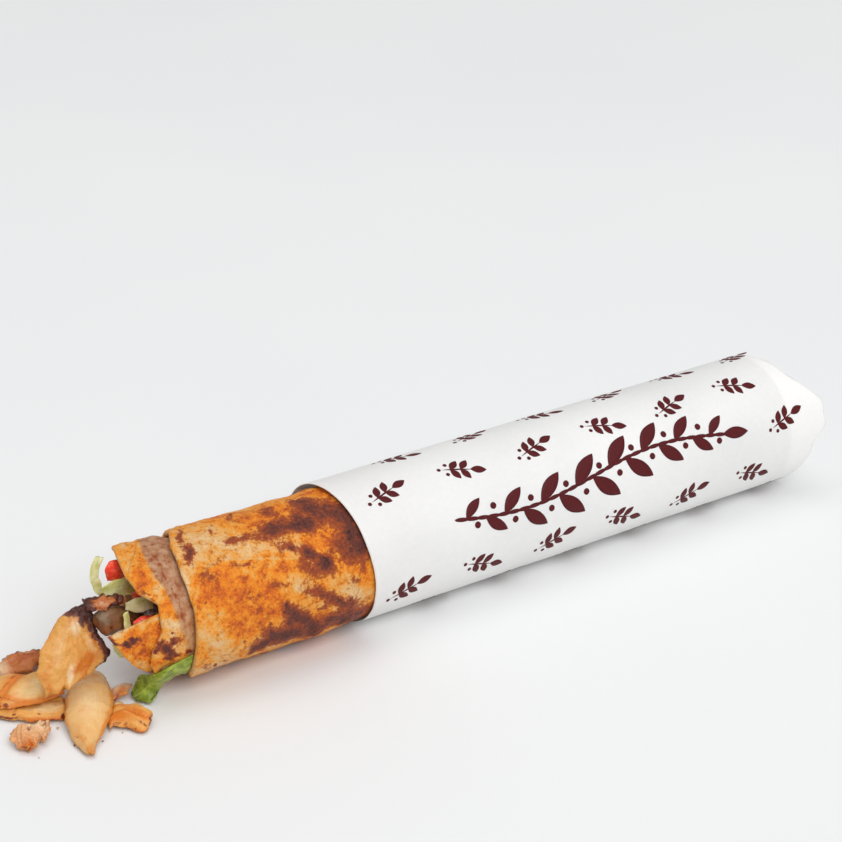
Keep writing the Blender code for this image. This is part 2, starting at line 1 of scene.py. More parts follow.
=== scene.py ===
"""Looks of a doner kebab wrap: griddled flatbread rolled round chicken, in a printed paper sleeve.

Frame: +X runs along the roll, from the open mouth to the folded end of the sleeve, and +Z is up.
The near side is -Y. Sizes are in metres, marks on the bread in millimetres. An angle round the
roll is in degrees from the top, and grows towards the near side (90 is -Y).
"""

import json
import math

import bpy
import numpy as np
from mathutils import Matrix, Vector

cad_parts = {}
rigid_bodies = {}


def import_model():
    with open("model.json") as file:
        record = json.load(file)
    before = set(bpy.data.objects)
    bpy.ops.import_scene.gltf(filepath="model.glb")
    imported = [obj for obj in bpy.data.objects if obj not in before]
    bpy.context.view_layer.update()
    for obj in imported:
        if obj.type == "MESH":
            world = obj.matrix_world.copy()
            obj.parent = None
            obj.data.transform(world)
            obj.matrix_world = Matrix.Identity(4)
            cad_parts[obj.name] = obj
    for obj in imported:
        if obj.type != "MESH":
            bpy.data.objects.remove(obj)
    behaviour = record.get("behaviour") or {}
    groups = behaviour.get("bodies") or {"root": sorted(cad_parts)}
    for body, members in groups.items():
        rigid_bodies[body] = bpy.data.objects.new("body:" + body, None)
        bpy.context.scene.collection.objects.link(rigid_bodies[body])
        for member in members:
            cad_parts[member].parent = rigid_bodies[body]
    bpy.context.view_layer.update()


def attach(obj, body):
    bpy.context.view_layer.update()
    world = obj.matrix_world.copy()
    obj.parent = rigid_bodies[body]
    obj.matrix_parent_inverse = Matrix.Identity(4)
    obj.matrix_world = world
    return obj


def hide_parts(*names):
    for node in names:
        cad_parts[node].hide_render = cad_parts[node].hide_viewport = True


# ------------------------------------------------------------------ sizes, as in the solids

FLOOR_GAP = 0.0004

SLEEVE_RADIUS = 0.028
SLEEVE_WALL = 0.0003
SLEEVE_FLATTENING = 1.028
SLEEVE_RIM_X = -0.110
SLEEVE_RIM_SLANT_SIDE = 0.0016
SLEEVE_RIM_SLANT_NEAR = 0.0030
SLEEVE_CAVITY_END_X = 0.0972
INK_HEIGHT = 0.00006

BREAD_CENTRE_Z = 0.0272
BREAD_RADIUS = 0.0264
BREAD_WALL = 0.0018
BREAD_END_X = 0.0966

INNER_CENTRE_Z = 0.0265
INNER_RADIUS = 0.0235
FOLD_RADIUS = 0.0217
INNER_WALL = 0.0014
INNER_END_X = 0.0934
FOLD_END_X = 0.0906
INNER_STRAIGHT_X = -0.1700
INNER_BACK_FULLNESS = 0.0012
INNER_RELIEF = 0.4
FILLING_RADIUS = 0.0198
FILLING_FRONT_X = -0.1868
FILLING_END_X = 0.0878

BREAD_FRONT = (
    (-180, -0.1740), (-60, -0.1700), (-25, -0.1715), (5, -0.1775), (35, -0.1795), (70, -0.1798),
    (100, -0.1805), (128, -0.1815), (150, -0.1780),
)
INNER_FRONT = (
    (-180, -0.1890), (-70, -0.1880), (-46, -0.1890), (-32, -0.1930), (-10, -0.1950), (12, -0.1965),
    (34, -0.1957), (42, -0.1932), (50, -0.1904), (75, -0.1913), (93, -0.1955), (110, -0.1962),
    (128, -0.1935), (150, -0.1890),
)
FOLD_FRONT = (
    (-180, -0.1870), (-60, -0.1870), (0, -0.1870), (52, -0.1870), (58, -0.1905), (65, -0.2105),
    (76, -0.2085), (94, -0.2048), (108, -0.2018), (122, -0.1978), (136, -0.1925), (152, -0.1880),
)
SLEEVE_END = (
    (-180, 0.1045), (-100, 0.1045), (-40, 0.1015), (0, 0.1025), (30, 0.1060), (45, 0.1120),
    (60, 0.1172), (84, 0.1170), (93, 0.1112), (120, 0.1100), (150, 0.1070),
)

# Free edge of the sheet over the turn below it: (x, angle), from its front corner back.
FREE_EDGE = (
    (-0.1815, 66.0), (-0.1764, 50.4), (-0.1736, 42.4), (-0.1711, 37.1), (-0.1668, 33.9),
    (-0.1630, 32.9), (-0.1531, 39.4), (-0.1411, 47.0), (-0.1180, 62.0),
)
FREE_EDGE_HEIGHT = 0.0008

# Where the middle turn, steamed under the outer one, changes to its griddled lip: (angle, x).
STEAMED_FROM = (
    (-180, -0.1850), (-40, -0.1810), (-7, -0.1862), (12, -0.1874), (26, -0.1876), (35, -0.1862),
    (56, -0.1855), (78, -0.1846), (98, -0.1829), (130, -0.1820),
)

# Where the middle turn's lip curls forward over the corner behind it: (x, angle).
LIP_CREASE = ((-0.1968, 17.0), (-0.1942, 7.8), (-0.1894, -6.0), (-0.1820, -32.0))
LIP_STEP = 0.0007

# ------------------------------------------------------------------ griddle marks
# Each: x mm, angle, half length mm, half width mm, turn from the roll's axis, strength.

OUTER_SCORCH = (
    (-128.4, 24, 5, 3.5, 30, 1.0), (-140.1, 21, 5.4, 3.5, -8, 0.85), (-122.9, 3, 5.2, 3.7, 89, 0.72),
    (-120.1, 15, 5.8, 4.3, 39, 0.68), (-114.1, 23, 5.6, 4.6, 52, 0.74), (-111.1, 45, 3.3, 3.2, 0, 1.0),
    (-114, 54, 5.2, 4.5, 39, 0.8), (-109.1, 59, 4.2, 2.9, -70, 0.8), (-109.6, 30, 4, 3.2, -43, 0.7),
    (-125.9, 62, 3.5, 2.1, 45, 1.0), (-132.1, 61, 4.8, 2.9, 41, 0.5), (-138.2, 39, 2.5, 1.4, 31, 0.7),
    (-133, 45, 5.3, 2, 36, 0.5), (-129.6, 52, 2.7, 1.5, 43, 0.66), (-130, 83, 6.4, 2, 31, 0.62),
    (-121.6, 96, 6.1, 1.7, 34, 0.68), (-116.5, 114, 5.9, 2.9, 71, 0.75), (-109.8, 125, 6, 5.2, 41, 0.72),
    (-141.6, 92, 5.4, 1.8, 48, 0.9), (-143.3, 99, 3, 1.9, 50, 0.8), (-137.2, 102, 4.2, 2.4, 56, 0.82),
    (-132.2, 119, 4.5, 3.9, 69, 0.8), (-124.9, 113, 3.6, 3.3, 18, 0.8), (-143.5, 115, 8.1, 4, 17, 0.92),
    (-150.1, 106, 3.9, 2.2, 46, 0.9), (-154.6, 117, 3.4, 2.8, 35, 0.85),
    (-157.6, 119, 3.7, 1.2, 70, 0.75),
    (-173.3, 19, 3.3, 1.6, -62, 0.85), (-171.5, -2, 4.9, 1.1, -64, 0.6), (-152.3, 20, 4.1, 1.6, 6, 0.6),
    (-157.6, 18, 2.3, 1.1, 20, 0.35), (-135.8, -1, 3.2, 2.3, 58, 0.6), (-149.7, -11, 3.5, 1.2, -87, 0.4),
    (-160, 1, 2.3, 1.1, -64, 0.38), (-169.7, 44, 2.5, 1.5, 48, 0.55), (-172.9, 41, 1.2, 1, 5, 0.5),
    (-174.7, 62, 0.5, 0.5, 19, 1.0), (-156.5, 42, 4, 1.1, 22, 0.36), (-115.3, 82, 2.3, 1.4, 25, 0.48),
    (-157.1, 71, 2.9, 2.5, 34, 0.3), (-146.3, 66, 3.1, 1.2, 34, 0.36), (-175.8, 120, 3.3, 1.3, 62, 0.36),
    (-144.5, 82, 0.6, 0.5, 47, 0.7), (-151.9, 95, 0.8, 0.5, 38, 0.7), (-157.2, 106, 0.7, 0.4, 50, 0.6),
    (-162.5, 103, 0.6, 0.4, 54, 0.6), (-168.3, 120, 1.1, 0.5, 48, 0.6), (-172.5, 122, 1.2, 0.5, 59, 0.7),
    (-147.5, -19, 1.6, 0.5, -68, 0.9), (-119.5, 123, 4.3, 2.3, 56, 0.9), (-122.7, 54, 1.7, 1.6, -2, 0.4),
    (-128.3, 96, 2.2, 1.5, -6, 0.5), (-165.8, 34, 3.4, 1.1, -13, 0.35),
    (-161, -56, 5.2, 1.7, 35, 0.75), (-157, -66, 3, 1.3, 10, 0.6), (-164, -67, 1.2, 0.8, 0, 0.9),
    (-143, -50, 2.6, 1.5, -30, 0.8), (-139, -62, 5.5, 1.8, 20, 0.85), (-134, -70, 3.8, 2.6, 60, 0.9),
    (-131, -82, 4.6, 1.6, 30, 0.8), (-126, -76, 1.4, 1, 0, 0.9), (-120, -40, 6, 2.6, 25, 0.8),
    (-114, -50, 3.6, 3.4, 0, 0.9), (-108, -62, 4.4, 3, 70, 0.8), (-117, -61, 1.8, 1.2, 40, 0.7),
    (-152, -96, 1.2, 0.8, 20, 0.9), (-147, -104, 3, 1.2, 45, 0.6), (-109, -88, 5, 2.8, 80, 0.8),
    (-116, -102, 6.5, 2.4, 35, 0.85), (-124, -114, 4.2, 2.6, 10, 0.8), (-131, -124, 5.6, 1.8, 25, 0.75),
    (-110, -120, 4.4, 3.6, 60, 0.85), (-168, -92, 1.6, 1, 0, 0.7), (-172, -112, 3.2, 1.2, -60, 0.5),
    (-164, -128, 2, 1.4, 15, 0.8), (-158, -134, 4.6, 1.4, 25, 0.6), (-141, -142, 0.9, 0.6, 0, 0.9),
    (-120, -146, 7, 2.6, 30, 0.8), (-111, -154, 4, 3.2, 0, 0.85), (-132, -158, 3.4, 1.6, 50, 0.7),
    (-147, 178, 6.5, 2, 20, 0.75), (-140, 168, 4, 3, 40, 0.85), (-133, 158, 6, 1.8, 30, 0.8),
    (-160, 160, 3.6, 1.4, -30, 0.6), (-168, 148, 1.4, 1, 0, 0.8), (-118, 168, 6, 3, 15, 0.8),
    (-110, 150, 4.4, 3.8, 50, 0.85), (-150, 142, 4.8, 1.6, 20, 0.6),
)
OUTER_TOAST = (
    (-160.7, 64, 10.6, 8.6, 19, 0.55), (-164.7, 52, 5.4, 3.6, 14, 0.35), (-135.4, 2, 8.4, 6, 32, 0.45),
    (-122.5, 41, 6.2, 5, 2, 0.7), (-144, 8, 5.3, 5.1, -17, 0.3), (-143.2, 52, 11.1, 3.1, 16, 0.3),
    (-117.9, 63, 7, 3.1, 16, 0.3), (-151.3, 82, 11.9, 5.4, 21, 0.35), (-172.1, 52, 5.6, 4.3, -66, 0.45),
    (-162.7, 92, 5.6, 3.4, 31, 0.35), (-150.1, -21, 15.7, 5.9, -87, 0.35), (-126, 77, 7.3, 3.2, 19, 0.2),
    (-129.7, 143, 8.3, 2, 0, 0.3), (-114.5, -5, 8.2, 5.1, 45, 0.4), (-110.6, 88, 8.4, 3.1, 90, 0.4),
    (-176.7, 108, 7.1, 3.6, 69, 0.35), (-131.2, 101, 5.7, 3.1, 35, 0.35),
    (-166.3, 11, 7.2, 5.6, -60, -0.45),
    (-151.6, 33, 9, 3.5, 17, -0.45), (-172.9, 103, 8.7, 5.2, 47, -0.4), (-178, 38, 6.6, 2.3, -66, -0.45),
    (-114.3, 96, 5.2, 3.4, 44, -0.8), (-137.9, 69, 3.5, 2.1, 18, -0.45), (-169.6, 79, 6, 5, 47, -0.25),
    (-156, 48, 4.3, 2.1, 15, -0.35), (-179, 123, 9.6, 2.7, 40, -0.5), (-152.2, 8, 6.2, 5.2, 24, -0.3),
    (-122.6, 81, 4.3, 2.7, 24, -0.3), (-133.8, 92, 3.9, 2.3, 30, -0.25),
    (-148.7, 122, 10.5, 2.3, 36, -0.3),
    (-162, -46, 8, 5, 20, 0.45), (-148, -72, 9, 5, 40, 0.5), (-170, -76, 6, 6, 0, -0.45),
    (-140, -96, 7, 4, 10, -0.5), (-124, -92, 7, 5, 30, 0.45), (-156, -114, 8, 5, 15, -0.4),
    (-140, -130, 9, 6, 30, 0.5), (-168, -146, 6, 5, 60, 0.45), (-150, -158, 8, 5, 10, -0.5),
    (-124, -170, 8, 5, 20, -0.4), (-160, 172, 9, 6, 25, 0.4), (-170, 130, 6, 4, 60, -0.5),
    (-128, 146, 8, 4, 20, 0.4), (-146, -36, 7, 4, 20, -0.45), (-128, -54, 6, 4, 0, -0.35),
)
INNER_SCORCH = (
    (-192.8, 84, 1.2, 0.7, -23, 0.6), (-194.2, 89, 1.9, 0.6, -65, 0.7), (-190.4, 94, 2.8, 1.6, 50, 1.15),
    (-187.1, 100, 1.4, 0.9, 30, 0.8), (-190.4, 103, 1.5, 0.8, 20, 0.9), (-187.8, 86, 1.5, 1.1, 2, 1.0),
    (-182.1, 102, 1.3, 0.8, 39, 1.0), (-187.7, 79, 0.6, 0.5, 28, 0.9), (-195.1, 93, 1.1, 0.6, 85, 0.8),
    (-196.9, 17, 0.6, 0.5, -59, 0.7), (-193.1, 39, 2.1, 0.5, 56, 0.5), (-191.7, 52, 1.1, 0.7, -69, 0.35),
)
INNER_TOAST = (
    (-192.3, 18, 5.2, 3, -54, 0.6), (-186.7, 52, 3.9, 2.4, -80, 0.6), (-195.1, 104, 4.6, 2.3, 12, 0.4),
    (-192, 35, 2.5, 2.4, 76, 0.3), (-192.2, 6, 3.6, 2.1, -66, -0.2), (-187.2, 39, 2.3, 2.1, -41, -0.4),
    (-187, 72, 3.7, 2.5, 22, -0.6), (-186.1, 90, 3.2, 2.4, 57, -0.3), (-188.5, 29, 2.5, 2.1, -53, -0.2),
)
TONGUE_SCORCH = (
    (-201.2, 75, 1.4, 0.9, 20, 1.4), (-204, 79, 1.5, 0.9, 20, 1.4), (-209, 71, 2.2, 0.9, 54, 1.4),
    (-190.6, 69, 0.9, 0.8, 88, 0.6), (-199.4, 100, 1.3, 0.8, 39, 0.2), (-196.6, 88, 3.6, 2.4, 37, 0.16),
)
TONGUE_TOAST = (
    (-198.1, 89, 5.8, 4.1, 37, 0.95), (-193.1, 74, 2.4, 2.1, 44, 0.4), (-202.2, 64, 9, 1, -7, -0.8),
    (-199.2, 108, 6, 1.2, 45, -0.4), (-207.9, 68, 2.2, 1, 18, -0.5),
)

# ------------------------------------------------------------------ camera

IMAGE_WIDTH = 842
CAMERA_FOCAL_PX = 2000.0
CAMERA_AZIMUTH = -32.72
CAMERA_ELEVATION = 26.87
CAMERA_TARGET = (-0.0693, 0.0, 0.0729)
CAMERA_DISTANCE = 0.7598


# ------------------------------------------------------------------ numeric helpers

def smooth_step(value):
    """Eased step from 0 to 1: 3 t squared less 2 t cubed, with t the value held to 0 to 1."""
    t = np.clip(value, 0.0, 1.0)
    return t * t * (3 - 2 * t)


def bump(angle, centre, width):
    """A round bump of height 1 at centre, in degrees and wrapped round the roll."""
    away = (np.asarray(angle) - centre + 180) % 360 - 180
    return np.exp(-(away / width) ** 2)


def round_profile(points, angle):
    """The closed curve through (angle, value) points, linear between them, at each angle."""
    at, value = np.array(points, float).T
    wrapped = (np.asarray(angle) + 180) % 360 - 180
    return np.interp(wrapped, at, value, period=360)


def curve_through(points, count):
    """Catmull-Rom curve through control points, sampled evenly in its parameter."""
    held = np.array(points, float)
    padded = np.vstack([2 * held[0] - held[1], held, 2 * held[-1] - held[-2]])
    at = np.linspace(0, len(held) - 1, count)
    span = np.minimum(at.astype(int), len(held) - 2)
    t = (at - span)[:, None]
    a, b, c, d = (padded[span + k] for k in range(4))
    return 0.5 * (2 * b + (c - a) * t + (2 * a - 5 * b + 4 * c - d) * t ** 2
                  + (3 * b - a - 3 * c + d) * t ** 3)


def read_keys(keys, u):
    """Values or vectors spread evenly over 0 to 1, read at each u, linear between them."""
    held = np.atleast_2d(np.array(keys, float).T)
    at = np.linspace(0, 1, held.shape[1])
    read = np.array([np.interp(u, at, row) for row in held]).T
    return read[:, 0] if np.ndim(keys[0]) == 0 else read


def unit(vectors):
    """Vectors divided by their own lengths."""
    return vectors / np.linalg.norm(vectors, axis=-1, keepdims=True)


def square_to(tangent, wanted):
    """The unit direction nearest to wanted that is square to the tangent, at each station."""
    return unit(wanted - tangent * np.sum(wanted * tangent, axis=1, keepdims=True))


def noise(points, size, seed, octaves=1):
    """Smooth random relief from about -1 to 1: random numbers on a cubic lattice of that cell size,
    blended between each cell's corners by a smooth step. Each octave halves the cell and height."""
    total = np.zeros(points.shape[:-1])
    for octave in range(octaves):
        table = np.random.default_rng(seed + octave).uniform(-1, 1, 8192)
        cell = points * (2 ** octave / size) + 512.5
        low = np.floor(cell).astype(np.int64)
        t = cell - low
        t = t * t * (3 - 2 * t)
        for corner in np.ndindex(*(2,) * points.shape[-1]):
            at = low + np.array(corner)
            key = np.zeros(at.shape[:-1], np.int64)
            for axis, prime in zip(range(at.shape[-1]), (73856093, 19349663, 83492791)):
                key = key ^ (at[..., axis] * prime)
            weight = np.prod(np.where(np.array(corner) == 1, t, 1 - t), axis=-1)
            total += weight * table[key % 8192] / 2 ** octave
    return total


# ------------------------------------------------------------------ mesh builders

def make_object(name, vertices, faces, finish, masks=None, uv=None):
    """A mesh object from arrays, its faces turned outwards. Masks are numbers on the vertices, and
    uv holds one pair for each corner of each face."""
    triangles = np.array([face[:3] for face in faces])
    corners = vertices[triangles]
    volume = np.einsum("ij,ij->", corners[:, 0], np.cross(corners[:, 1], corners[:, 2]))
    if volume < 0:
        faces = [face[::-1] for face in faces]
        uv = [pairs[::-1] for pairs in uv] if uv is not None else None
    mesh = bpy.data.meshes.new(name)
    mesh.from_pydata(vertices, [], faces)
    mesh.materials.append(finish)
    if uv is not None:
        layer = mesh.uv_layers.new(name="surface")
        layer.data.foreach_set("uv", np.concatenate([np.ravel(pairs) for pairs in uv]))
    for mask, values in (masks or {}).items():
        mesh.attributes.new(mask, "FLOAT", "POINT").data.foreach_set("value", values)
    mesh.shade_smooth()
    mesh.update()
    made = bpy.data.objects.new(name, mesh)
    bpy.context.collection.objects.link(made)
    return made


def closed_rings(name, rings, finish, masks=None):
    """Joins closed rings in order and closes both ends on a pole. The UV map runs along the piece
    and round it in metres."""
    count, around = rings.shape[:2]
    index = np.arange(count * around).reshape(count, around)
    beside = np.roll(index, -1, axis=1)
    quads = np.stack([index[:-1], beside[:-1], beside[1:], index[1:]], axis=-1).reshape(-1, 4)
    first, last = count * around, count * around + 1
    caps = [np.stack([beside[0], index[0], np.full(around, first)], axis=-1),
            np.stack([index[-1], beside[-1], np.full(around, last)], axis=-1)]
    vertices = np.vstack([rings.reshape(-1, 3), rings[0].mean(axis=0), rings[-1].mean(axis=0)])
    faces = quads.tolist() + caps[0].tolist() + caps[1].tolist()

    step = np.linalg.norm(np.diff(rings, axis=0), axis=-1).mean(axis=1)
    along = np.concatenate([[0.0], np.cumsum(step)])
    girth = np.linalg.norm(np.diff(rings, axis=1), axis=-1).sum(axis=1).max()
    across = np.linspace(0, girth, around + 1)
    u = np.broadcast_to(along[:, None], (count, around + 1))
    v = np.broadcast_to(across[None, :], (count, around + 1))
    pairs = np.stack([u, v], axis=-1)
    quad_uv = np.stack([pairs[:-1, :-1], pairs[:-1, 1:], pairs[1:, 1:], pairs[1:, :-1]], axis=2)
    cap_uv = [np.stack([pairs[0, 1:], pairs[0, :-1], pairs[0, :-1]], axis=1),
              np.stack([pairs[-1, :-1], pairs[-1, 1:], pairs[-1, 1:]], axis=1)]
    uv = list(quad_uv.reshape(-1, 4, 2)) + list(cap_uv[0]) + list(cap_uv[1])

    held = {mask: np.concatenate([values.ravel(), [values[0].mean(), values[-1].mean()]])
            for mask, values in (masks or {}).items()}
    return make_object(name, vertices, faces, finish, held, uv)


def two_faced(face, other):
    """Vertices, faces and vertex order of closed sheets: grids of points (sheets, rows, columns)
    and their other sides, joined round their rims."""
    sheets, rows, columns = face.shape[:3]
    size = rows * columns
    grid = np.arange(size).reshape(rows, columns)
    top = np.stack([grid[:-1, :-1], grid[:-1, 1:], grid[1:, 1:], grid[1:, :-1]], -1).reshape(-1, 4)
    rim = np.concatenate([grid[0], grid[1:, -1], grid[-1, -2::-1], grid[-2:0:-1, 0]])
    onward = np.roll(rim, -1)
    side = np.stack([rim, rim + size, onward + size, onward], axis=-1)
    one = np.vstack([top, top[:, ::-1] + size, side])
    faces = (one[None] + 2 * size * np.arange(sheets)[:, None, None]).reshape(-1, 4)
    both = np.stack([face.reshape(sheets, size, 3), other.reshape(sheets, size, 3)], axis=1)
    return both.reshape(-1, 3), faces


def dress(piece, slot, *nodes):
    """The piece rides on the part's only body and stands for the nodes, which are hidden. The slot is
    not used.
    """
    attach(piece, "root")
    if nodes:
        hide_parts(*nodes)
    return piece


# ------------------------------------------------------------------ material helpers

def linear(hex_colour):
    """Linear RGBA of an sRGB hex colour."""
    values = [int(hex_colour[i:i + 2], 16) / 255 for i in (0, 2, 4)]
    return (*[v / 12.92 if v <= 0.04045 else ((v + 0.055) / 1.055) ** 2.4 for v in values], 1.0)


def add(tree, kind, settings=None, inputs=None):
    """Adds a shader node. Settings are its properties, with a ramp's stops as (place, hex) pairs.
    Each input, by name or number, gets a value, or a link where a socket is given."""
    node = tree.nodes.new("ShaderNode" + kind)
    for key, value in (settings or {}).items():
        if key == "stops":
            ramp = node.color_ramp
            while len(ramp.elements) < len(value):
                ramp.elements.new(1.0)
            for element, (place, colour) in zip(ramp.elements, value):
                element.position = place
                element.color = linear(colour)
        else:
            setattr(node, key, value)
    for key, value in (inputs or {}).items():
        if isinstance(value, bpy.types.NodeSocket):
            tree.links.new(value, node.inputs[key])
        else:
            node.inputs[key].default_value = value
    return node


def new_finish(name):
    """A material, its node tree and its Principled shader."""
    made = bpy.data.materials.new(name)
    made.use_nodes = True
    return made, made.node_tree, made.node_tree.nodes["Principled BSDF"]


def finish_surface(tree, shader, colour, roughness, height, depth, **constants):
    """Joins a finish's colour, roughness and relief to its shader. depth is the relief in metres,
    and constants go straight onto the shader's own sockets."""
    relief = add(tree, "Bump", None, {"Strength": 1.0, "Distance": depth, "Height": height})
    tree.links.new(colour, shader.inputs["Base Color"])
    tree.links.new(roughness, shader.inputs["Roughness"])
    tree.links.new(relief.outputs[0], shader.inputs["Normal"])
    for socket, value in constants.items():
        shader.inputs[socket.replace("_", " ")].default_value = value


MIX = {"data_type": "RGBA"}
SMOOTH = {"interpolation_type": "SMOOTHSTEP"}


# ------------------------------------------------------------------ finishes

def griddled_flatbread(name):
    """Unleavened flatbread, griddled dry: cream where it was lifted, golden to orange where oil
    and spice soaked in, and dark brown where it blistered on the iron. Dull, with a dusting of
    pores a few tenths of a millimetre wide. The dark browns also paint shade into the hollows of
    the middle turn's creases, and a cream line along the outer sheet's free edge is a painted
    highlight."""
    made, tree, shader = new_finish(name)
    place = add(tree, "TexCoord").outputs["Object"]
    toast, scorch, steamed = (add(tree, "Attribute", {"attribute_name": mask}).outputs["Fac"]
                              for mask in ("toast", "scorch", "steamed"))
    cloud = add(tree, "TexNoise", None, {"Vector": place, "Scale": 300.0, "Detail": 5.0,
                                         "Roughness": 0.6})
    grain = add(tree, "TexNoise", None, {"Vector": place, "Scale": 900.0, "Detail": 5.0,
                                         "Roughness": 0.65})
    fine = add(tree, "TexNoise", None, {"Vector": place, "Scale": 2600.0, "Detail": 3.0})
    # Toasting, stirred by clouds 3 mm wide and by the crumb's own grain.
    stirred = add(tree, "Math", {"operation": "MULTIPLY_ADD"},
                  {0: cloud.outputs["Fac"], 1: 1.4, 2: toast})
    toasted = add(tree, "Math", {"operation": "MULTIPLY_ADD"},
                  {0: grain.outputs["Fac"], 1: 0.7, 2: stirred.outputs[0]})
    level = add(tree, "Math", {"operation": "SUBTRACT"}, {0: toasted.outputs[0], 1: 1.05})
    baked = add(tree, "ValToRGB", {"stops": (
        (0.0, "eac490"), (0.18, "e8b678"), (0.34, "ebaa58"), (0.50, "ef9c36"), (0.66, "ec8a1c"),
        (0.84, "da6e1c"), (1.0, "b8541e"))}, {"Fac": level.outputs[0]})
    # Brown flecks 1 to 2 mm wide, where single bubbles touched the iron.
    fleck = add(tree, "TexNoise", None, {"Vector": place, "Scale": 380.0, "Detail": 4.0,
                                         "Roughness": 0.65})
    fleck_share = add(tree, "MapRange", SMOOTH, {0: fleck.outputs["Fac"], 1: 0.54, 2: 0.68,
                                                 3: 0.0, 4: 0.6})
    flecked = add(tree, "Mix", MIX, {0: fleck_share.outputs[0], 6: baked.outputs[0],
                                     7: linear("b0541c")})
    damp = add(tree, "ValToRGB", {"stops": ((0.35, "caa080"), (0.5, "b8845f"), (0.68, "9c6649"))},
               {"Fac": cloud.outputs["Fac"]})
    under = add(tree, "Mix", MIX, {0: steamed, 6: flecked.outputs[2], 7: damp.outputs[0]})
    # Scorching goes from red brown through dark brown to nearly black. The mask also holds painted shade
    # in the hollows of the middle turn's creases, darkened the same way.
    speckled = add(tree, "Math", {"operation": "MULTIPLY_ADD"},
                   {0: grain.outputs["Fac"], 1: 1.2, 2: scorch})
    patchy = add(tree, "Math", {"operation": "MULTIPLY_ADD"},
                 {0: cloud.outputs["Fac"], 1: 1.0, 2: speckled.outputs[0]})
    burnt = add(tree, "Math", {"operation": "SUBTRACT"}, {0: patchy.outputs[0], 1: 1.15})
    browned = add(tree, "MapRange", SMOOTH, {0: burnt.outputs[0], 1: 0.02, 2: 0.42})
    dark = add(tree, "MapRange", SMOOTH, {0: burnt.outputs[0], 1: 0.42, 2: 0.84})
    black = add(tree, "MapRange", SMOOTH, {0: burnt.outputs[0], 1: 0.88, 2: 1.20})
    brown = add(tree, "Mix", MIX, {0: browned.outputs[0], 6: under.outputs[2],
                                   7: linear("a04a22")})
    darker = add(tree, "Mix", MIX, {0: dark.outputs[0], 6: brown.outputs[2], 7: linear("66342a")})
    charred = add(tree, "Mix", MIX, {0: black.outputs[0], 6: darker.outputs[2],
                                     7: linear("2c1816")})
    pore = add(tree, "MapRange", None, {0: fine.outputs["Fac"], 1: 0.30, 2: 0.55, 3: 0.80, 4: 1.04})
    colour = add(tree, "Mix", {"data_type": "RGBA", "blend_type": "MULTIPLY"},
                 {0: 1.0, 6: charred.outputs[2], 7: pore.outputs[0]})
    dullness = add(tree, "MapRange", None, {0: grain.outputs["Fac"], 1: 0.3, 2: 0.7, 3: 0.46,
                                            4: 0.68})
    relief = add(tree, "Math", {"operation": "MULTIPLY_ADD"},
                 {0: fine.outputs["Fac"], 1: 0.35, 2: grain.outputs["Fac"]})
    finish_surface(tree, shader, colour.outputs[2], dullness.outputs[0], relief.outputs[0], 0.0006,
                   IOR=1.42, Specular_IOR_Level=0.36, Subsurface_Weight=0.1, Subsurface_Scale=0.002,
                   Subsurface_Radius=(1.0, 0.45, 0.2))
    return made


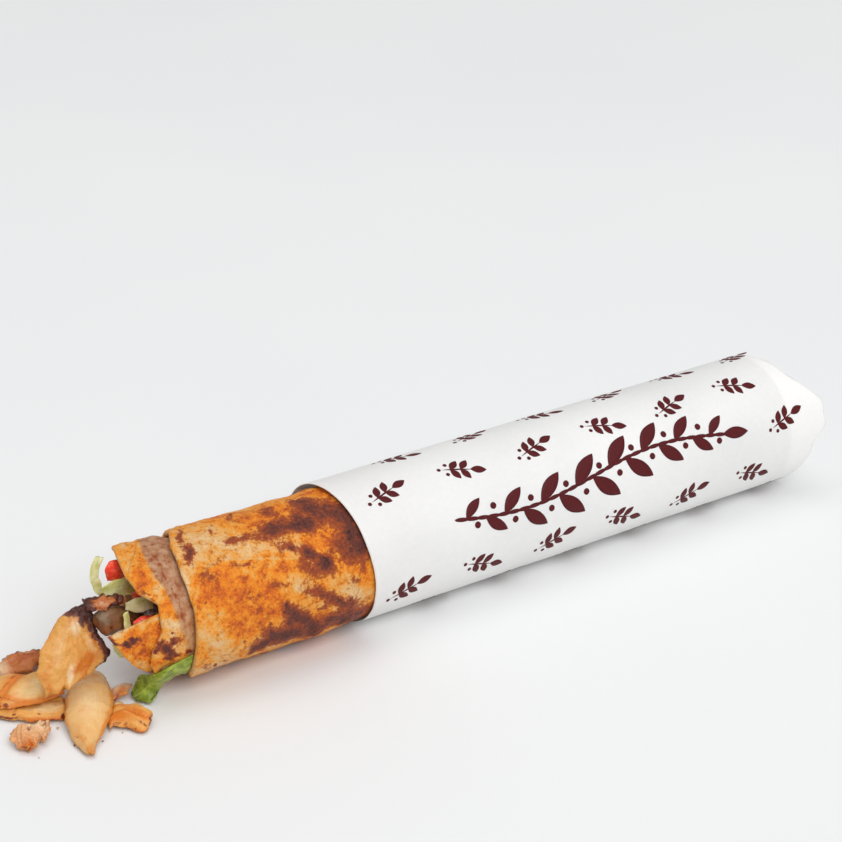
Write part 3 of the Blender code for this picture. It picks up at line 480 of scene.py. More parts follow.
def roast_chicken(name, flesh, pale, season, crust, streak_shade=0.90):
    """Chicken carved off a spit: pale moist flesh in strands, orange where spice and fat ran over
    it, brown to black where the flame caught it. Fat gives it a wet, broken shine. streak_shade
    is how dark the lines between its strands are. On the stewed chunk the pale mark is a painted
    highlight and the char marks are partly painted shade, and one pale mark on the charred
    slice is a painted highlight."""
    made, tree, shader = new_finish(name)
    place = add(tree, "TexCoord")
    seasoned, lightness, char = (add(tree, "Attribute", {"attribute_name": mask}).outputs["Fac"]
                                 for mask in ("season", "pale", "char"))
    cloud = add(tree, "TexNoise", None, {"Vector": place.outputs["Object"], "Scale": 260.0,
                                         "Detail": 6.0, "Roughness": 0.65})
    grain = add(tree, "TexNoise", None, {"Vector": place.outputs["Object"], "Scale": 1100.0,
                                         "Detail": 5.0, "Roughness": 0.6})
    # Strands 0.4 mm wide that run along the piece.
    stretched = add(tree, "Mapping", None, {"Vector": place.outputs["UV"],
                                            "Scale": (260.0, 2400.0, 1.0)})
    strands = add(tree, "TexNoise", None, {"Vector": stretched.outputs[0], "Scale": 1.0,
                                           "Detail": 4.0, "Distortion": 0.6})
    wash = add(tree, "Math", {"operation": "MULTIPLY_ADD"},
               {0: cloud.outputs["Fac"], 1: 1.3, 2: seasoned})
    orange = add(tree, "MapRange", SMOOTH, {0: wash.outputs[0], 1: 0.55, 2: 1.35})
    paler = add(tree, "Math", {"operation": "MULTIPLY_ADD"},
                {0: grain.outputs["Fac"], 1: 0.5, 2: lightness})
    paleness = add(tree, "MapRange", SMOOTH, {0: paler.outputs[0], 1: 0.35, 2: 1.15})
    light = add(tree, "Mix", MIX, {0: paleness.outputs[0], 6: linear(flesh), 7: linear(pale)})
    spiced = add(tree, "Mix", MIX, {0: orange.outputs[0], 6: light.outputs[2], 7: linear(season)})
    edge = add(tree, "Math", {"operation": "MULTIPLY_ADD"},
               {0: grain.outputs["Fac"], 1: 0.9, 2: char})
    browned = add(tree, "MapRange", SMOOTH, {0: edge.outputs[0], 1: 0.64, 2: 1.02})
    black = add(tree, "MapRange", SMOOTH, {0: edge.outputs[0], 1: 1.22, 2: 1.66})
    brown = add(tree, "Mix", MIX, {0: browned.outputs[0], 6: spiced.outputs[2], 7: linear(crust)})
    charred = add(tree, "Mix", MIX, {0: black.outputs[0], 6: brown.outputs[2],
                                     7: linear("26110f")})
    streak = add(tree, "MapRange", None, {0: strands.outputs["Fac"], 1: 0.3, 2: 0.7,
                                          3: streak_shade, 4: 1.04})
    colour = add(tree, "Mix", {"data_type": "RGBA", "blend_type": "MULTIPLY"},
                 {0: 1.0, 6: charred.outputs[2], 7: streak.outputs[0]})
    wet = add(tree, "MapRange", None, {0: cloud.outputs["Fac"], 1: 0.35, 2: 0.65, 3: 0.24,
                                       4: 0.50})
    relief = add(tree, "Math", {"operation": "MULTIPLY_ADD"},
                 {0: grain.outputs["Fac"], 1: 0.8, 2: strands.outputs["Fac"]})
    finish_surface(tree, shader, colour.outputs[2], wet.outputs[0], relief.outputs[0], 0.00022,
                   IOR=1.45, Subsurface_Weight=0.25, Subsurface_Scale=0.003,
                   Subsurface_Radius=(1.0, 0.5, 0.25))
    return made


def cut_lettuce(name, pale, deep):
    """Cut iceberg lettuce: crisp, watery strips, nearly white at the rib and yellow green between,
    with fine parallel veins and a wet shine."""
    made, tree, shader = new_finish(name)
    place = add(tree, "TexCoord")
    stretched = add(tree, "Mapping", None, {"Vector": place.outputs["UV"],
                                            "Scale": (120.0, 1500.0, 1.0)})
    veins = add(tree, "TexNoise", None, {"Vector": stretched.outputs[0], "Scale": 1.0,
                                         "Detail": 3.0, "Distortion": 0.4})
    cloud = add(tree, "TexNoise", None, {"Vector": place.outputs["Object"], "Scale": 240.0,
                                         "Detail": 3.0})
    both = add(tree, "Math", {"operation": "MULTIPLY_ADD"},
               {0: veins.outputs["Fac"], 1: 0.5, 2: cloud.outputs["Fac"]})
    share = add(tree, "MapRange", SMOOTH, {0: both.outputs[0], 1: 0.55, 2: 0.95})
    colour = add(tree, "Mix", MIX, {0: share.outputs[0], 6: linear(deep), 7: linear(pale)})
    wet = add(tree, "MapRange", None, {0: cloud.outputs["Fac"], 1: 0.3, 2: 0.7, 3: 0.22, 4: 0.40})
    finish_surface(tree, shader, colour.outputs[2], wet.outputs[0], both.outputs[0], 0.0003,
                   IOR=1.40, Subsurface_Weight=0.35, Subsurface_Scale=0.002,
                   Subsurface_Radius=(0.7, 1.0, 0.3))
    return made


def green_leaf():
    """The green outer leaf of a lettuce: waxy, with pale ribs that branch to its edge."""
    made, tree, shader = new_finish("green lettuce leaf")
    place = add(tree, "TexCoord")
    rib = add(tree, "Attribute", {"attribute_name": "rib"}).outputs["Fac"]
    cloud = add(tree, "TexNoise", None, {"Vector": place.outputs["Object"], "Scale": 300.0,
                                         "Detail": 4.0})
    cells = add(tree, "TexNoise", None, {"Vector": place.outputs["Object"], "Scale": 1500.0,
                                         "Detail": 2.0})
    green = add(tree, "ValToRGB", {"stops": ((0.3, "5c6c1c"), (0.5, "86982c"), (0.72, "b2c44c"))},
                {"Fac": cloud.outputs["Fac"]})
    colour = add(tree, "Mix", MIX, {0: rib, 6: green.outputs[0], 7: linear("bccb66")})
    waxy = add(tree, "MapRange", None, {0: cells.outputs["Fac"], 1: 0.3, 2: 0.7, 3: 0.28, 4: 0.42})
    finish_surface(tree, shader, colour.outputs[2], waxy.outputs[0], cells.outputs["Fac"], 0.0002,
                   IOR=1.40, Subsurface_Weight=0.25, Subsurface_Scale=0.0015,
                   Subsurface_Radius=(0.5, 1.0, 0.2))
    return made


def tomato_flesh():
    """Cut ripe tomato: wet, glassy red flesh, a little paler in its grainy core."""
    made, tree, shader = new_finish("cut tomato")
    place = add(tree, "TexCoord")
    cloud = add(tree, "TexNoise", None, {"Vector": place.outputs["Object"], "Scale": 420.0,
                                         "Detail": 3.0})
    grain = add(tree, "TexNoise", None, {"Vector": place.outputs["Object"], "Scale": 1700.0,
                                         "Detail": 2.0})
    colour = add(tree, "ValToRGB", {"stops": ((0.3, "ee321c"), (0.5, "fa4e34"), (0.72, "fc8a72"))},
                 {"Fac": cloud.outputs["Fac"]})
    wet = add(tree, "MapRange", None, {0: grain.outputs["Fac"], 1: 0.3, 2: 0.7, 3: 0.12, 4: 0.28})
    finish_surface(tree, shader, colour.outputs[0], wet.outputs[0], grain.outputs["Fac"], 0.0002,
                   IOR=1.40, Subsurface_Weight=0.35, Subsurface_Scale=0.003,
                   Subsurface_Radius=(1.0, 0.2, 0.1))
    return made


def sleeve_paper():
    """Bleached greaseproof paper, calendered smooth: white with a faint warm cloudiness where fat
    has begun to soak in near the mouth, and a soft sheen."""
    made, tree, shader = new_finish("greaseproof paper")
    place = add(tree, "TexCoord")
    stain = add(tree, "Attribute", {"attribute_name": "stain"}).outputs["Fac"]
    fibres = add(tree, "TexNoise", None, {"Vector": place.outputs["Object"], "Scale": 520.0,
                                          "Detail": 6.0, "Roughness": 0.7})
    white = add(tree, "ValToRGB", {"stops": ((0.25, "eeedeb"), (0.75, "f4f3f1"))},
                {"Fac": fibres.outputs["Fac"]})
    colour = add(tree, "Mix", MIX, {0: stain, 6: white.outputs[0], 7: linear("d9c5ac")})
    sheen = add(tree, "MapRange", None, {0: fibres.outputs["Fac"], 1: 0.3, 2: 0.7, 3: 0.42,
                                         4: 0.52})
    finish_surface(tree, shader, colour.outputs[2], sheen.outputs[0], fibres.outputs["Fac"],
                   0.00005, IOR=1.45, Subsurface_Weight=0.3, Subsurface_Scale=0.0015,
                   Subsurface_Radius=(1.0, 0.97, 0.9))
    return made


def sleeve_ink():
    """Dark red flexographic ink: a thin, even, slightly dull film on the paper."""
    made, tree, shader = new_finish("dark red printing ink")
    place = add(tree, "TexCoord").outputs["Object"]
    film = add(tree, "TexNoise", None, {"Vector": place, "Scale": 1400.0, "Detail": 3.0})
    colour = add(tree, "ValToRGB", {"stops": ((0.3, "4c070d"), (0.7, "5a0d13"))},
                 {"Fac": film.outputs["Fac"]})
    dull = add(tree, "MapRange", None, {0: film.outputs["Fac"], 1: 0.3, 2: 0.7, 3: 0.52, 4: 0.64})
    finish_surface(tree, shader, colour.outputs[0], dull.outputs[0], film.outputs["Fac"], 0.00003,
                   IOR=1.48, Specular_IOR_Level=0.3)
    return made


# ------------------------------------------------------------------ marks painted on the bread

def mark_shares(marks, x, angle, radius):
    """How much each mark covers each point: one minus a soft edge at its ellipse, measured on the
    unrolled sheet along and across the mark."""
    for at_x, at_angle, long, short, turn, strength in marks:
        along = x * 1000 - at_x
        round_it = np.radians((angle - at_angle + 180) % 360 - 180) * radius * 1000
        cos, sin = math.cos(math.radians(turn)), math.sin(math.radians(turn))
        reach = ((along * cos + round_it * sin) / long) ** 2
        reach = reach + ((round_it * cos - along * sin) / short) ** 2
        yield strength * np.exp(-0.55 * reach ** 1.2)


def stirred(x, angle, radius, shift, seed):
    """The sheet's places, moved about by up to shift so that marks get uneven outlines."""
    sheet = np.stack([x, np.radians(angle) * radius], axis=-1)
    away = [noise(sheet, 0.0035, seed + k, 3) * shift for k in (0, 10)]
    return x + away[0], angle + np.degrees(away[1] / radius)


def scorched(marks, x, angle, radius, seed):
    """How burnt each point is. The marks are stirred by noise, and each leaves one less its own
    share of the dough unburnt: one less the product of those remainders."""
    at_x, at_angle = stirred(x, angle, radius, 0.0009, seed)
    clear = np.ones(x.shape)
    for share in mark_shares(marks, at_x, at_angle, radius):
        clear = clear * (1 - share)
    return 1 - clear


TOAST_LEAST, TOAST_MOST = 0.08, 0.78


def toasted(marks, x, angle, radius, start, seed):
    """How toasted each point is: the start plus the sum of the marks' shares, held to 0 to 1 and
    then spread from TOAST_LEAST to TOAST_MOST."""
    at_x, at_angle = stirred(x, angle, radius, 0.0016, seed)
    toast = np.clip(start + sum(mark_shares(marks, at_x, at_angle, radius)), 0, 1)
    return TOAST_LEAST + (TOAST_MOST - TOAST_LEAST) * toast


# ------------------------------------------------------------------ flatbread turns

def bread_relief(x, angle, held_from, fade):
    """Low swells of the baked sheet: sines of the angle and x. They fade out from held_from on,
    where a turn is held by what is round it."""
    radians = np.radians(angle)
    swell = 0.00030 * np.sin(3 * radians + x * 95) + 0.00022 * np.sin(5 * radians - x * 210 + 1.0)
    swell = swell + 0.00016 * np.sin(2 * radians + x * 330 + 2.1)
    return swell * smooth_step((held_from - x) / fade)


def crumb_relief(x, angle, radius, seed):
    """Blisters 4 mm wide and pits under 1 mm on the baked face: noise on the unrolled sheet."""
    sheet = np.stack([x, np.radians(angle) * radius], axis=-1)
    return 0.00036 * noise(sheet, 0.0055, seed, 3) + 0.00008 * noise(sheet, 0.0011, seed + 5, 2)


def roll_points(x, radius, angle, centre_z):
    """Points of the roll. What would reach the floor is pressed flat just above it."""
    radians = np.radians(angle)
    z = centre_z + radius * np.cos(radians)
    z = np.where(z < FLOOR_GAP, FLOOR_GAP + 0.05 * (z - FLOOR_GAP), z)
    return np.stack([x, -radius * np.sin(radians), z], axis=-1)


def turn_path(front_x, straight_x, end_x, wall, fine):
    """A turn's wall, followed lengthwise at each angle: back to front on the outside, round the
    front edge in a half circle, and in again. Gives x and depth below the outer face."""
    flat = np.ones(front_x.shape)
    rows = [(end_x * flat, 0.6), ((end_x - 0.001) * flat, 0.0)]
    rows += [(x * flat, 0.0) for x in np.linspace(end_x - 0.02, straight_x + 0.006, 8)]
    count = int((straight_x - front_x.min()) / fine)
    shares = np.linspace(0, 1, count)
    start = front_x + wall / 2
    rows += [(straight_x + share * (start - straight_x), 0.0) for share in shares]
    for turn in np.linspace(0, np.pi, 9)[1:-1]:
        rows.append((front_x + wall / 2 * (1 - np.sin(turn)), wall / 2 * (1 - np.cos(turn))))
    rows += [(start + share * (straight_x - start), wall) for share in shares[::2]]
    rows += [(x * flat, wall) for x in np.linspace(straight_x + 0.006, end_x - 0.002 - wall, 6)]
    x = np.array([row[0] for row in rows])
    depth = np.array([row[1] for row in rows])[:, None] * flat
    return x, depth


def outer_swell(x, angle):
    """Swells, blisters, the rise to the sheet's free edge, and where the roll sags on the floor."""
    edge_x, edge_angle = np.array(FREE_EDGE).T
    beyond = np.radians(angle - np.interp(x, edge_x, edge_angle)) * BREAD_RADIUS
    over = smooth_step(beyond / 0.0005 + 0.4) * (1 - smooth_step((angle - 105) / 45))
    held = 1 - smooth_step((x + 0.1165) / 0.004)
    resting = 0.0006 * bump(angle, 142, 45) * smooth_step((-0.112 - x) / 0.020)
    crumb = crumb_relief(x, angle, BREAD_RADIUS, 40) * smooth_step((-0.1085 - x) / 0.003)
    return bread_relief(x, angle, -0.108, 0.012) + FREE_EDGE_HEIGHT * over * held + resting + crumb


def make_outer_bread(finish):
    """The outermost turn: its wall is followed round the roll at 380 angles, with a ragged front."""
    angle = np.linspace(-180, 180, 380, endpoint=False)
    ragged = 0.0004 * noise(np.stack([angle / 20, 0 * angle], axis=-1), 1.0, 3, 3)
    front_x = round_profile(BREAD_FRONT, angle) + ragged
    x, depth = turn_path(front_x, -0.1060, BREAD_END_X, BREAD_WALL, 0.0005)
    angle = np.broadcast_to(angle, x.shape)
    face = 1 - np.clip(depth / BREAD_WALL, 0, 1)
    radius = np.where(depth > 0.5, 0.35 * BREAD_RADIUS, BREAD_RADIUS - depth)
    radius = radius + face * outer_swell(x, angle)
    scorch = scorched(OUTER_SCORCH, x, angle, BREAD_RADIUS, 20) * face
    edge_x, edge_angle = np.array(FREE_EDGE).T
    beyond = np.radians(angle - np.interp(x, edge_x, edge_angle)) * BREAD_RADIUS
    # A cream line along the sheet's free edge, on top of its step, is a painted highlight where the
    # raised edge catches the light; it is taken off the toasting.
    painted_edge_highlight = 0.3 * np.exp(-((beyond - 0.0002) / 0.0004) ** 2) * smooth_step((-0.125 - x) / 0.02)
    toast = toasted(OUTER_TOAST, x, angle, BREAD_RADIUS, 0.56, 30) - painted_edge_highlight
    radius = radius + 0.00012 * scorch * face * smooth_step((-0.112 - x) / 0.004)
    rings = roll_points(x, radius, angle, BREAD_CENTRE_Z)
    masks = {"scorch": scorch,
             "toast": toast * (0.3 + 0.7 * face), "steamed": 0.5 * smooth_step((0.6 - face) / 0.5)}
    return closed_rings("outer_flatbread", rings, finish, masks)


def mouth_pinch(x):
    """How much the inner turns draw in where they stand out of the outer one."""
    return 0.0012 * np.clip((-0.184 - x) / 0.012, 0, 1)


def inner_swell(x, angle):
    """What the middle turn's radius gains: the fullness and the lift on its far side, as bumps of
    the angle, and the sheet's low swells, less the pinch and the crease behind the lip."""
    fuller = INNER_BACK_FULLNESS * bump(angle, -40, 38)
    lifted = 0.0024 * bump(angle, -33, 20) * smooth_step((-0.1712 - x) / 0.0060)
    pinch = mouth_pinch(x) * (1 - bump(angle, -40, 38))
    crease_x, crease_angle = np.array(LIP_CREASE).T
    behind = np.radians(np.interp(x, crease_x, crease_angle) - angle) * INNER_RADIUS
    corner = LIP_STEP * smooth_step(behind / 0.0006 + 0.5) * (1 - smooth_step(behind / 0.012))
    corner = corner * smooth_step((-0.1820 - x) / 0.002)
    return (fuller + lifted + INNER_RELIEF * bread_relief(x, angle, -0.1805, 0.004) - pinch
            - corner)


def fold_swell(x, angle):
    """What the innermost turn's radius gains: the sheet's low swells less the mouth's pinch."""
    return INNER_RELIEF * bread_relief(x, angle, -0.1805, 0.004) - mouth_pinch(x)


def make_inner_turn(name, front, radius, end_x, swell, marks, steamed_from, start, finish, seed):
    """A turn under the outer one: its griddled lip stands 0.6 mm proud, and the band behind it,
    which was covered, is steamed brown and creased along the turn (noise drawn out that way).
    The creases' hollows are darkened with painted shade, added to the scorching."""
    angle = np.linspace(-180, 180, 360, endpoint=False)
    ragged = 0.00025 * noise(np.stack([angle / 12, 0 * angle], axis=-1), 1.0, seed, 3)
    front_x = round_profile(front, angle) + ragged
    x, depth = turn_path(front_x, INNER_STRAIGHT_X, end_x, INNER_WALL, 0.0003)
    angle = np.broadcast_to(angle, x.shape)
    face = 1 - np.clip(depth / INNER_WALL, 0, 1)
    reach = np.where(depth > 0.5, 0.35 * radius, radius - depth) + swell(x, angle)
    shown = smooth_step((-0.1795 - x) / 0.002)
    crumb = crumb_relief(x, angle, radius, seed + 1) * 0.8
    before = round_profile(steamed_from, angle) - x
    lip = smooth_step(before / 0.0018 + 0.3) * (1 - smooth_step((before - 0.012) / 0.004))
    covered = smooth_step(0.4 - before / 0.0014)
    sheet = np.stack([x * 6, np.radians(angle) * radius], axis=-1)
    creases = noise(sheet, 0.0075, seed + 6, 3) * covered
    reach = reach + shown * (crumb * (0.4 + 0.6 * face) + face * (0.0006 * lip + 0.0002 * creases))
    rings = roll_points(x, reach, angle, INNER_CENTRE_Z)
    low_side = smooth_step((angle - 40) / 70)
    # Painted shade: the hollows of the creases are darkened, added to the scorching.
    scorch = scorched(marks[0], x, angle, radius, seed + 2) + 0.35 * np.clip(-creases, 0, 1)
    masks = {"scorch": np.clip(scorch, 0, 1) * face,
             "toast": toasted(marks[1], x, angle, radius, start, seed + 3) * (0.3 + 0.7 * face),
             "steamed": np.maximum(covered * face * (1 - 0.4 * low_side),
                                   0.5 * smooth_step((0.6 - face) / 0.5))}
    return closed_rings(name, rings, finish, masks)


# ------------------------------------------------------------------ meat, tomato and shreds

def spots(marks, u, v, slimness):
    """Soft oval marks on a piece. Each: place along it from 0 to 1, place across it from -1 to 1,
    its reach and its breadth in half widths of the piece, its turn from along, and its strength."""
    total = np.zeros(np.broadcast(u, v).shape)
    for at_u, at_v, reach, breadth, turn, strength in marks:
        along, across = (u - at_u) * slimness, v - at_v
        cos, sin = math.cos(math.radians(turn)), math.sin(math.radians(turn))
        away = ((along * cos + across * sin) / reach) ** 2
        away = away + ((across * cos - along * sin) / breadth) ** 2
        total += strength * np.exp(-away)
    return total


def flattened_piece(name, centre, wide, half_thicknesses, finish, arch=0.0, ruffle=0.0, seed=0,
                    sides=96, ragged=0.0005, strands=0.00007, lumps=0.0003, browning=(0.5, 0.2),
                    crumble=0.0, bites=(), masks=None):
    """A torn slice or strip. Each section is a flat oval: the centre, plus the half width times the
    cosine, plus the thickness times the sine. Noise tears its edges and both ends, and lays
    strands along it. The lift marks raise folds of so many mm, and charred places get a crust.
    browning is how far its thin edges are seasoned and charred. Each bite draws the last end back:
    its place across, its half width there, and its depth in metres."""
    draw = np.random.default_rng(seed)
    rows = len(centre)
    masks = masks or {}
    u = np.linspace(0, 1, rows)[:, None]
    up = unit(np.cross(np.gradient(centre, axis=0), wide))
    up = up if up[:, 2].sum() > 0 else -up
    turn = np.linspace(0, 2 * np.pi, sides, endpoint=False)
    cos, sin = np.cos(turn), np.sin(turn)
    half = np.linalg.norm(wide, axis=1)[:, None]
    length = np.linalg.norm(np.diff(centre, axis=0), axis=1).sum()
    from_end = np.minimum(u, 1 - u) * length
    rounding = np.sqrt(1 - (1 - np.clip(from_end / 0.0015, 0.04, 1)) ** 2)
    thick = read_keys(half_thicknesses, u[:, 0])[:, None] * rounding
    phase = draw.uniform(0, 2 * np.pi, 4)
    wave = np.sin(7.0 * u + 2.5 * cos + phase[0]) + 0.6 * np.sin(15.0 * u - 3.5 * cos + phase[1])
    edge = np.sin(19.0 * u + phase[2] + np.where(cos > 0, 0.0, 1.7))

    v = np.broadcast_to(cos, (rows, sides))
    held = {mask: spots(marks, u, v, length / half.max()) for mask, marks in masks.items()}
    folds = held.pop("lift", 0.0) * 0.001
    side = np.stack(np.broadcast_arrays(u * length, np.sign(cos) * 0.05), axis=-1)
    torn = ragged * noise(side, 0.0035, seed + 50, 4) * np.abs(cos) ** 1.5
    reach = (1 + 0.5 * ruffle / half.max() * edge + torn / np.maximum(half, 0.001)) * cos
    lift = thick * sin + arch * (1 - cos ** 2) + 0.45 * ruffle * wave + folds
    rings = centre[:, None] + wide[:, None] * reach[..., None] + up[:, None] * lift[..., None]

    # Both ends are torn: points near an end move along the piece by noise across it.
    tangent = unit(np.gradient(centre, axis=0))[:, None]
    lane = np.stack(np.broadcast_arrays(half * cos, np.round(u) + 0.0 * cos), axis=-1)
    near_end = np.exp(-(from_end / 0.0022) ** 2)
    rings = rings + tangent * (1.6 * ragged * near_end * noise(lane, 0.0022, seed + 60, 3))[..., None]

    for at_v, breadth, deep in bites:
        drawn = deep * np.exp(-((cos - at_v) / breadth) ** 2 - ((1 - u) * length / 0.0045) ** 2)
        rings = rings - tangent * drawn[..., None]

    outward = unit(up[:, None] * sin[:, None] + unit(wide)[:, None] * (0.35 * cos)[:, None])
    laid = np.stack(np.broadcast_arrays(u * length / 7, half * cos), axis=-1)
    relief = strands * noise(laid, 0.0007, seed + 70, 2) + lumps * noise(rings, 0.0035, seed + 80, 2)
    relief = relief + crumble * noise(rings, 0.0016, seed + 75, 3)
    crust = np.clip(held["char"], 0, 1) if "char" in held else 0.0
    relief = relief + 0.0005 * crust * noise(rings, 0.0016, seed + 85, 3)
    rings = rings + outward * relief[..., None]
    low = rings[..., 2] < FLOOR_GAP
    rings[..., 2] = np.where(low, FLOOR_GAP + 0.05 * (rings[..., 2] - FLOOR_GAP), rings[..., 2])

    brink = np.maximum(np.abs(cos) ** 10, np.exp(-(from_end / 0.0012) ** 2))
    uneven = 0.6 + 0.8 * noise(rings, 0.0030, seed + 90, 2)
    for mask, share in zip(("season", "char"), browning):
        if mask in held:
            held[mask] = held[mask] + share * brink * uneven
    if "char" in held:
        held["char"] = held["char"] * (1 + 0.45 * noise(rings, 0.0018, seed + 95, 3))
    held = {mask: np.clip(values, 0, 1) for mask, values in held.items()}
    return closed_rings(name, rings, finish, held)


def blade(name, spine, across, half_widths, half_thicknesses, finish, rows=90, **options):
    """A piece carried along a spine, its width lying along across."""
    u = np.linspace(0, 1, rows)
    centre = curve_through(spine, rows)
    wide = square_to(unit(np.gradient(centre, axis=0)), read_keys(across, u))
    wide = wide * read_keys(half_widths, u)[:, None]
    return flattened_piece(name, centre, wide, half_thicknesses, finish, **options)


def slab(name, left, right, half_thicknesses, finish, rows=110, **options):
    """A slice whose flattened sections run from one edge curve to the other."""
    edges = curve_through(left, rows), curve_through(right, rows)
    centre = (edges[0] + edges[1]) / 2
    return flattened_piece(name, centre, (edges[1] - edges[0]) / 2, half_thicknesses, finish,
                           **options)


UPRIGHT = ((0.0, 0.0, 1.0), (0.0, 0.0, 1.0))
SIDEWAYS = ((0.0, 1.0, 0.0), (0.0, 1.0, 0.0))


def make_filling(finish):
    """Chopped chicken filling the roll: a front of packed lumps, and a plain core behind it."""
    angle = np.linspace(-180, 180, 200, endpoint=False)
    radians = np.radians(angle)
    rings, shares = [], np.linspace(0.04, 1.0, 60)
    for share in shares:
        lump = 0.0011 * np.sin(4 * radians + 9 * share) + 0.0008 * np.sin(7 * radians - 11 * share)
        x = FILLING_FRONT_X + 0.0016 + 0.0035 * share ** 4 + lump * (0.3 + share * (1.2 - share))
        rings.append(roll_points(x, FILLING_RADIUS * share - 0.0016 * share, angle, INNER_CENTRE_Z))
    for x, share in ((-0.176, 1), (-0.150, 1), (0.0, 1), (FILLING_END_X - 0.002, 1),
                     (FILLING_END_X, 0.6)):
        rings.append(roll_points(x + 0 * angle, FILLING_RADIUS * share, angle, INNER_CENTRE_Z))
    rings = np.array(rings)
    lumpy = np.arange(len(rings)) < len(shares)
    rings[..., 0] += 0.0008 * lumpy[:, None] * noise(rings, 0.0032, 90, 3)
    shades = noise(rings, 0.004, 95, 2)
    masks = {"season": 0.4 + 0.4 * shades, "pale": 0 * shades, "char": 0.35 + 0.4 * shades}
    return closed_rings("chopped_filling", rings, finish, masks)


def make_tomato(finish):
    """Three cut pieces of tomato: short thick blades."""
    blade("tomato_piece_upper",
          ((-0.1981, 0.0085, 0.0424), (-0.1940, 0.0090, 0.0428), (-0.1897, 0.0095, 0.0412)),
          UPRIGHT, (0.0026, 0.0047, 0.0038, 0.0018), (0.0010, 0.0026, 0.0026, 0.0010), finish,
          rows=50, sides=48, seed=1, ragged=0.0003, strands=0.00004, lumps=0.00025)
    blade("tomato_piece_deep",
          ((-0.1928, -0.0010, 0.0362), (-0.1903, -0.0008, 0.0362), (-0.1880, -0.0006, 0.0352)),
          UPRIGHT, (0.0018, 0.0032, 0.0020), (0.0009, 0.0019, 0.0009), finish,
          rows=40, sides=40, seed=2, ragged=0.0003, strands=0.00004, lumps=0.0002)
    blade("tomato_piece_lower",
          ((-0.1970, -0.0102, 0.0304), (-0.1920, -0.0100, 0.0299), (-0.1872, -0.0092, 0.0288)),
          UPRIGHT, (0.0020, 0.0031, 0.0030, 0.0016), (0.0010, 0.0019, 0.0019, 0.0009), finish,
          rows=50, sides=40, seed=3, ragged=0.0003, strands=0.00004, lumps=0.0002)


def make_lettuce_shreds(finish):
    """Five shreds of iceberg lettuce: thin narrow blades along curved spines."""
    thin = (0.0004, 0.0007, 0.0007, 0.0004)
    crisp = {"sides": 40, "ragged": 0.0003, "strands": 0.00008, "lumps": 0.00018}
    blade("lettuce_shred_hook",
          ((-0.2002, 0.0080, 0.0340), (-0.2022, 0.0082, 0.0398), (-0.2028, 0.0078, 0.0462),
           (-0.2008, 0.0070, 0.0514)),
          ((1.0, 0.2, 0.2), (1.0, -0.2, 0.3)), (0.0012, 0.0019, 0.0018, 0.0017), thin, finish,
          arch=0.0005, seed=4, **crisp)
    blade("lettuce_shred_upper",
          ((-0.2030, 0.0022, 0.0398), (-0.1985, 0.0020, 0.0402), (-0.1938, 0.0026, 0.0390),
           (-0.1885, 0.0036, 0.0358)),
          UPRIGHT, (0.0018, 0.0034, 0.0036, 0.0018), thin, finish, arch=-0.0006, seed=5, **crisp)
    blade("lettuce_shred_middle",
          ((-0.1976, -0.0056, 0.0366), (-0.1926, -0.0064, 0.0359), (-0.1872, -0.0062, 0.0350)),
          ((0.0, -0.25, 1.0), (0.1, 0.1, 1.0)), (0.0018, 0.0032, 0.0032, 0.0020), thin, finish,
          arch=0.0005, seed=6, **crisp)
    blade("lettuce_shred_upright",
          ((-0.1985, -0.0092, 0.0262), (-0.1992, -0.0096, 0.0318), (-0.1990, -0.0092, 0.0368)),
          ((1.0, 0.3, 0.0),), (0.0009, 0.0015, 0.0009), thin, finish, rows=60, seed=7, **crisp)
    blade("lettuce_shred_under",
          ((-0.2020, -0.0030, 0.0215), (-0.1990, -0.0026, 0.0170), (-0.1945, -0.0020, 0.0150)),
          ((0.3, 0.3, 1.0),), (0.0016, 0.0028, 0.0016), thin, finish, rows=60, seed=8, **crisp)


def make_mouth_chicken(stewed, charred):
    """The stewed piece, a thick blade, and the charred ridge above it, a slab."""
    blade("stewed_chunk",
          ((-0.2080, -0.0052, 0.0312), (-0.2036, -0.0038, 0.0317), (-0.1964, -0.0006, 0.0288),
           (-0.1882, 0.0020, 0.0250)),
          SIDEWAYS, (0.0032, 0.0048, 0.0042, 0.0025), (0.0040, 0.0057, 0.0045, 0.0025), stewed,
          ruffle=0.0004, seed=9, ragged=0.0003, lumps=0.0005,
          # On this chunk the pale mark near its front end is a painted highlight, and the char marks,
          # which darken one side and its inner half in the mouth, are partly painted shade over its
          # charred edges.
          masks={"season": ((0.3, 0.0, 1.0, 0.6, 0, 0.35),), "pale": ((0.15, -0.2, 0.7, 0.5, 0, 0.9),),
                 "char": ((0.25, 0.5, 0.6, 0.3, 0, 0.45), (0.8, 0.0, 1.5, 1.0, 0, 0.5))})
    slab("charred_ridge",
         ((-0.2112, 0.0004, 0.0418), (-0.2064, 0.0002, 0.0405), (-0.2010, 0.0000, 0.0394),
          (-0.1962, 0.0000, 0.0380)),
         ((-0.2118, -0.0048, 0.0392), (-0.2066, -0.0066, 0.0384), (-0.2014, -0.0056, 0.0381),
          (-0.1972, -0.0040, 0.0374)),
         (0.0009, 0.0012, 0.0012, 0.0008), charred, arch=0.0004, ruffle=0.0004, seed=10,
         rows=80, sides=80, lumps=0.0004, crumble=0.0004, browning=(0.4, 0.5),
         masks={"season": ((0.4, 0.2, 2.0, 0.4, 0, 0.3),), "pale": ((0.40, 0.35, 1.0, 0.3, 0, 0.8),),
                "char": ((0.0, 0.0, 0.8, 1.5, 0, 0.8), (0.5, -0.85, 4.0, 0.45, 0, 1.0),
                         (0.80, 0.0, 0.8, 0.6, 40, 0.8), (0.6, 0.85, 1.6, 0.15, 0, 0.7))})


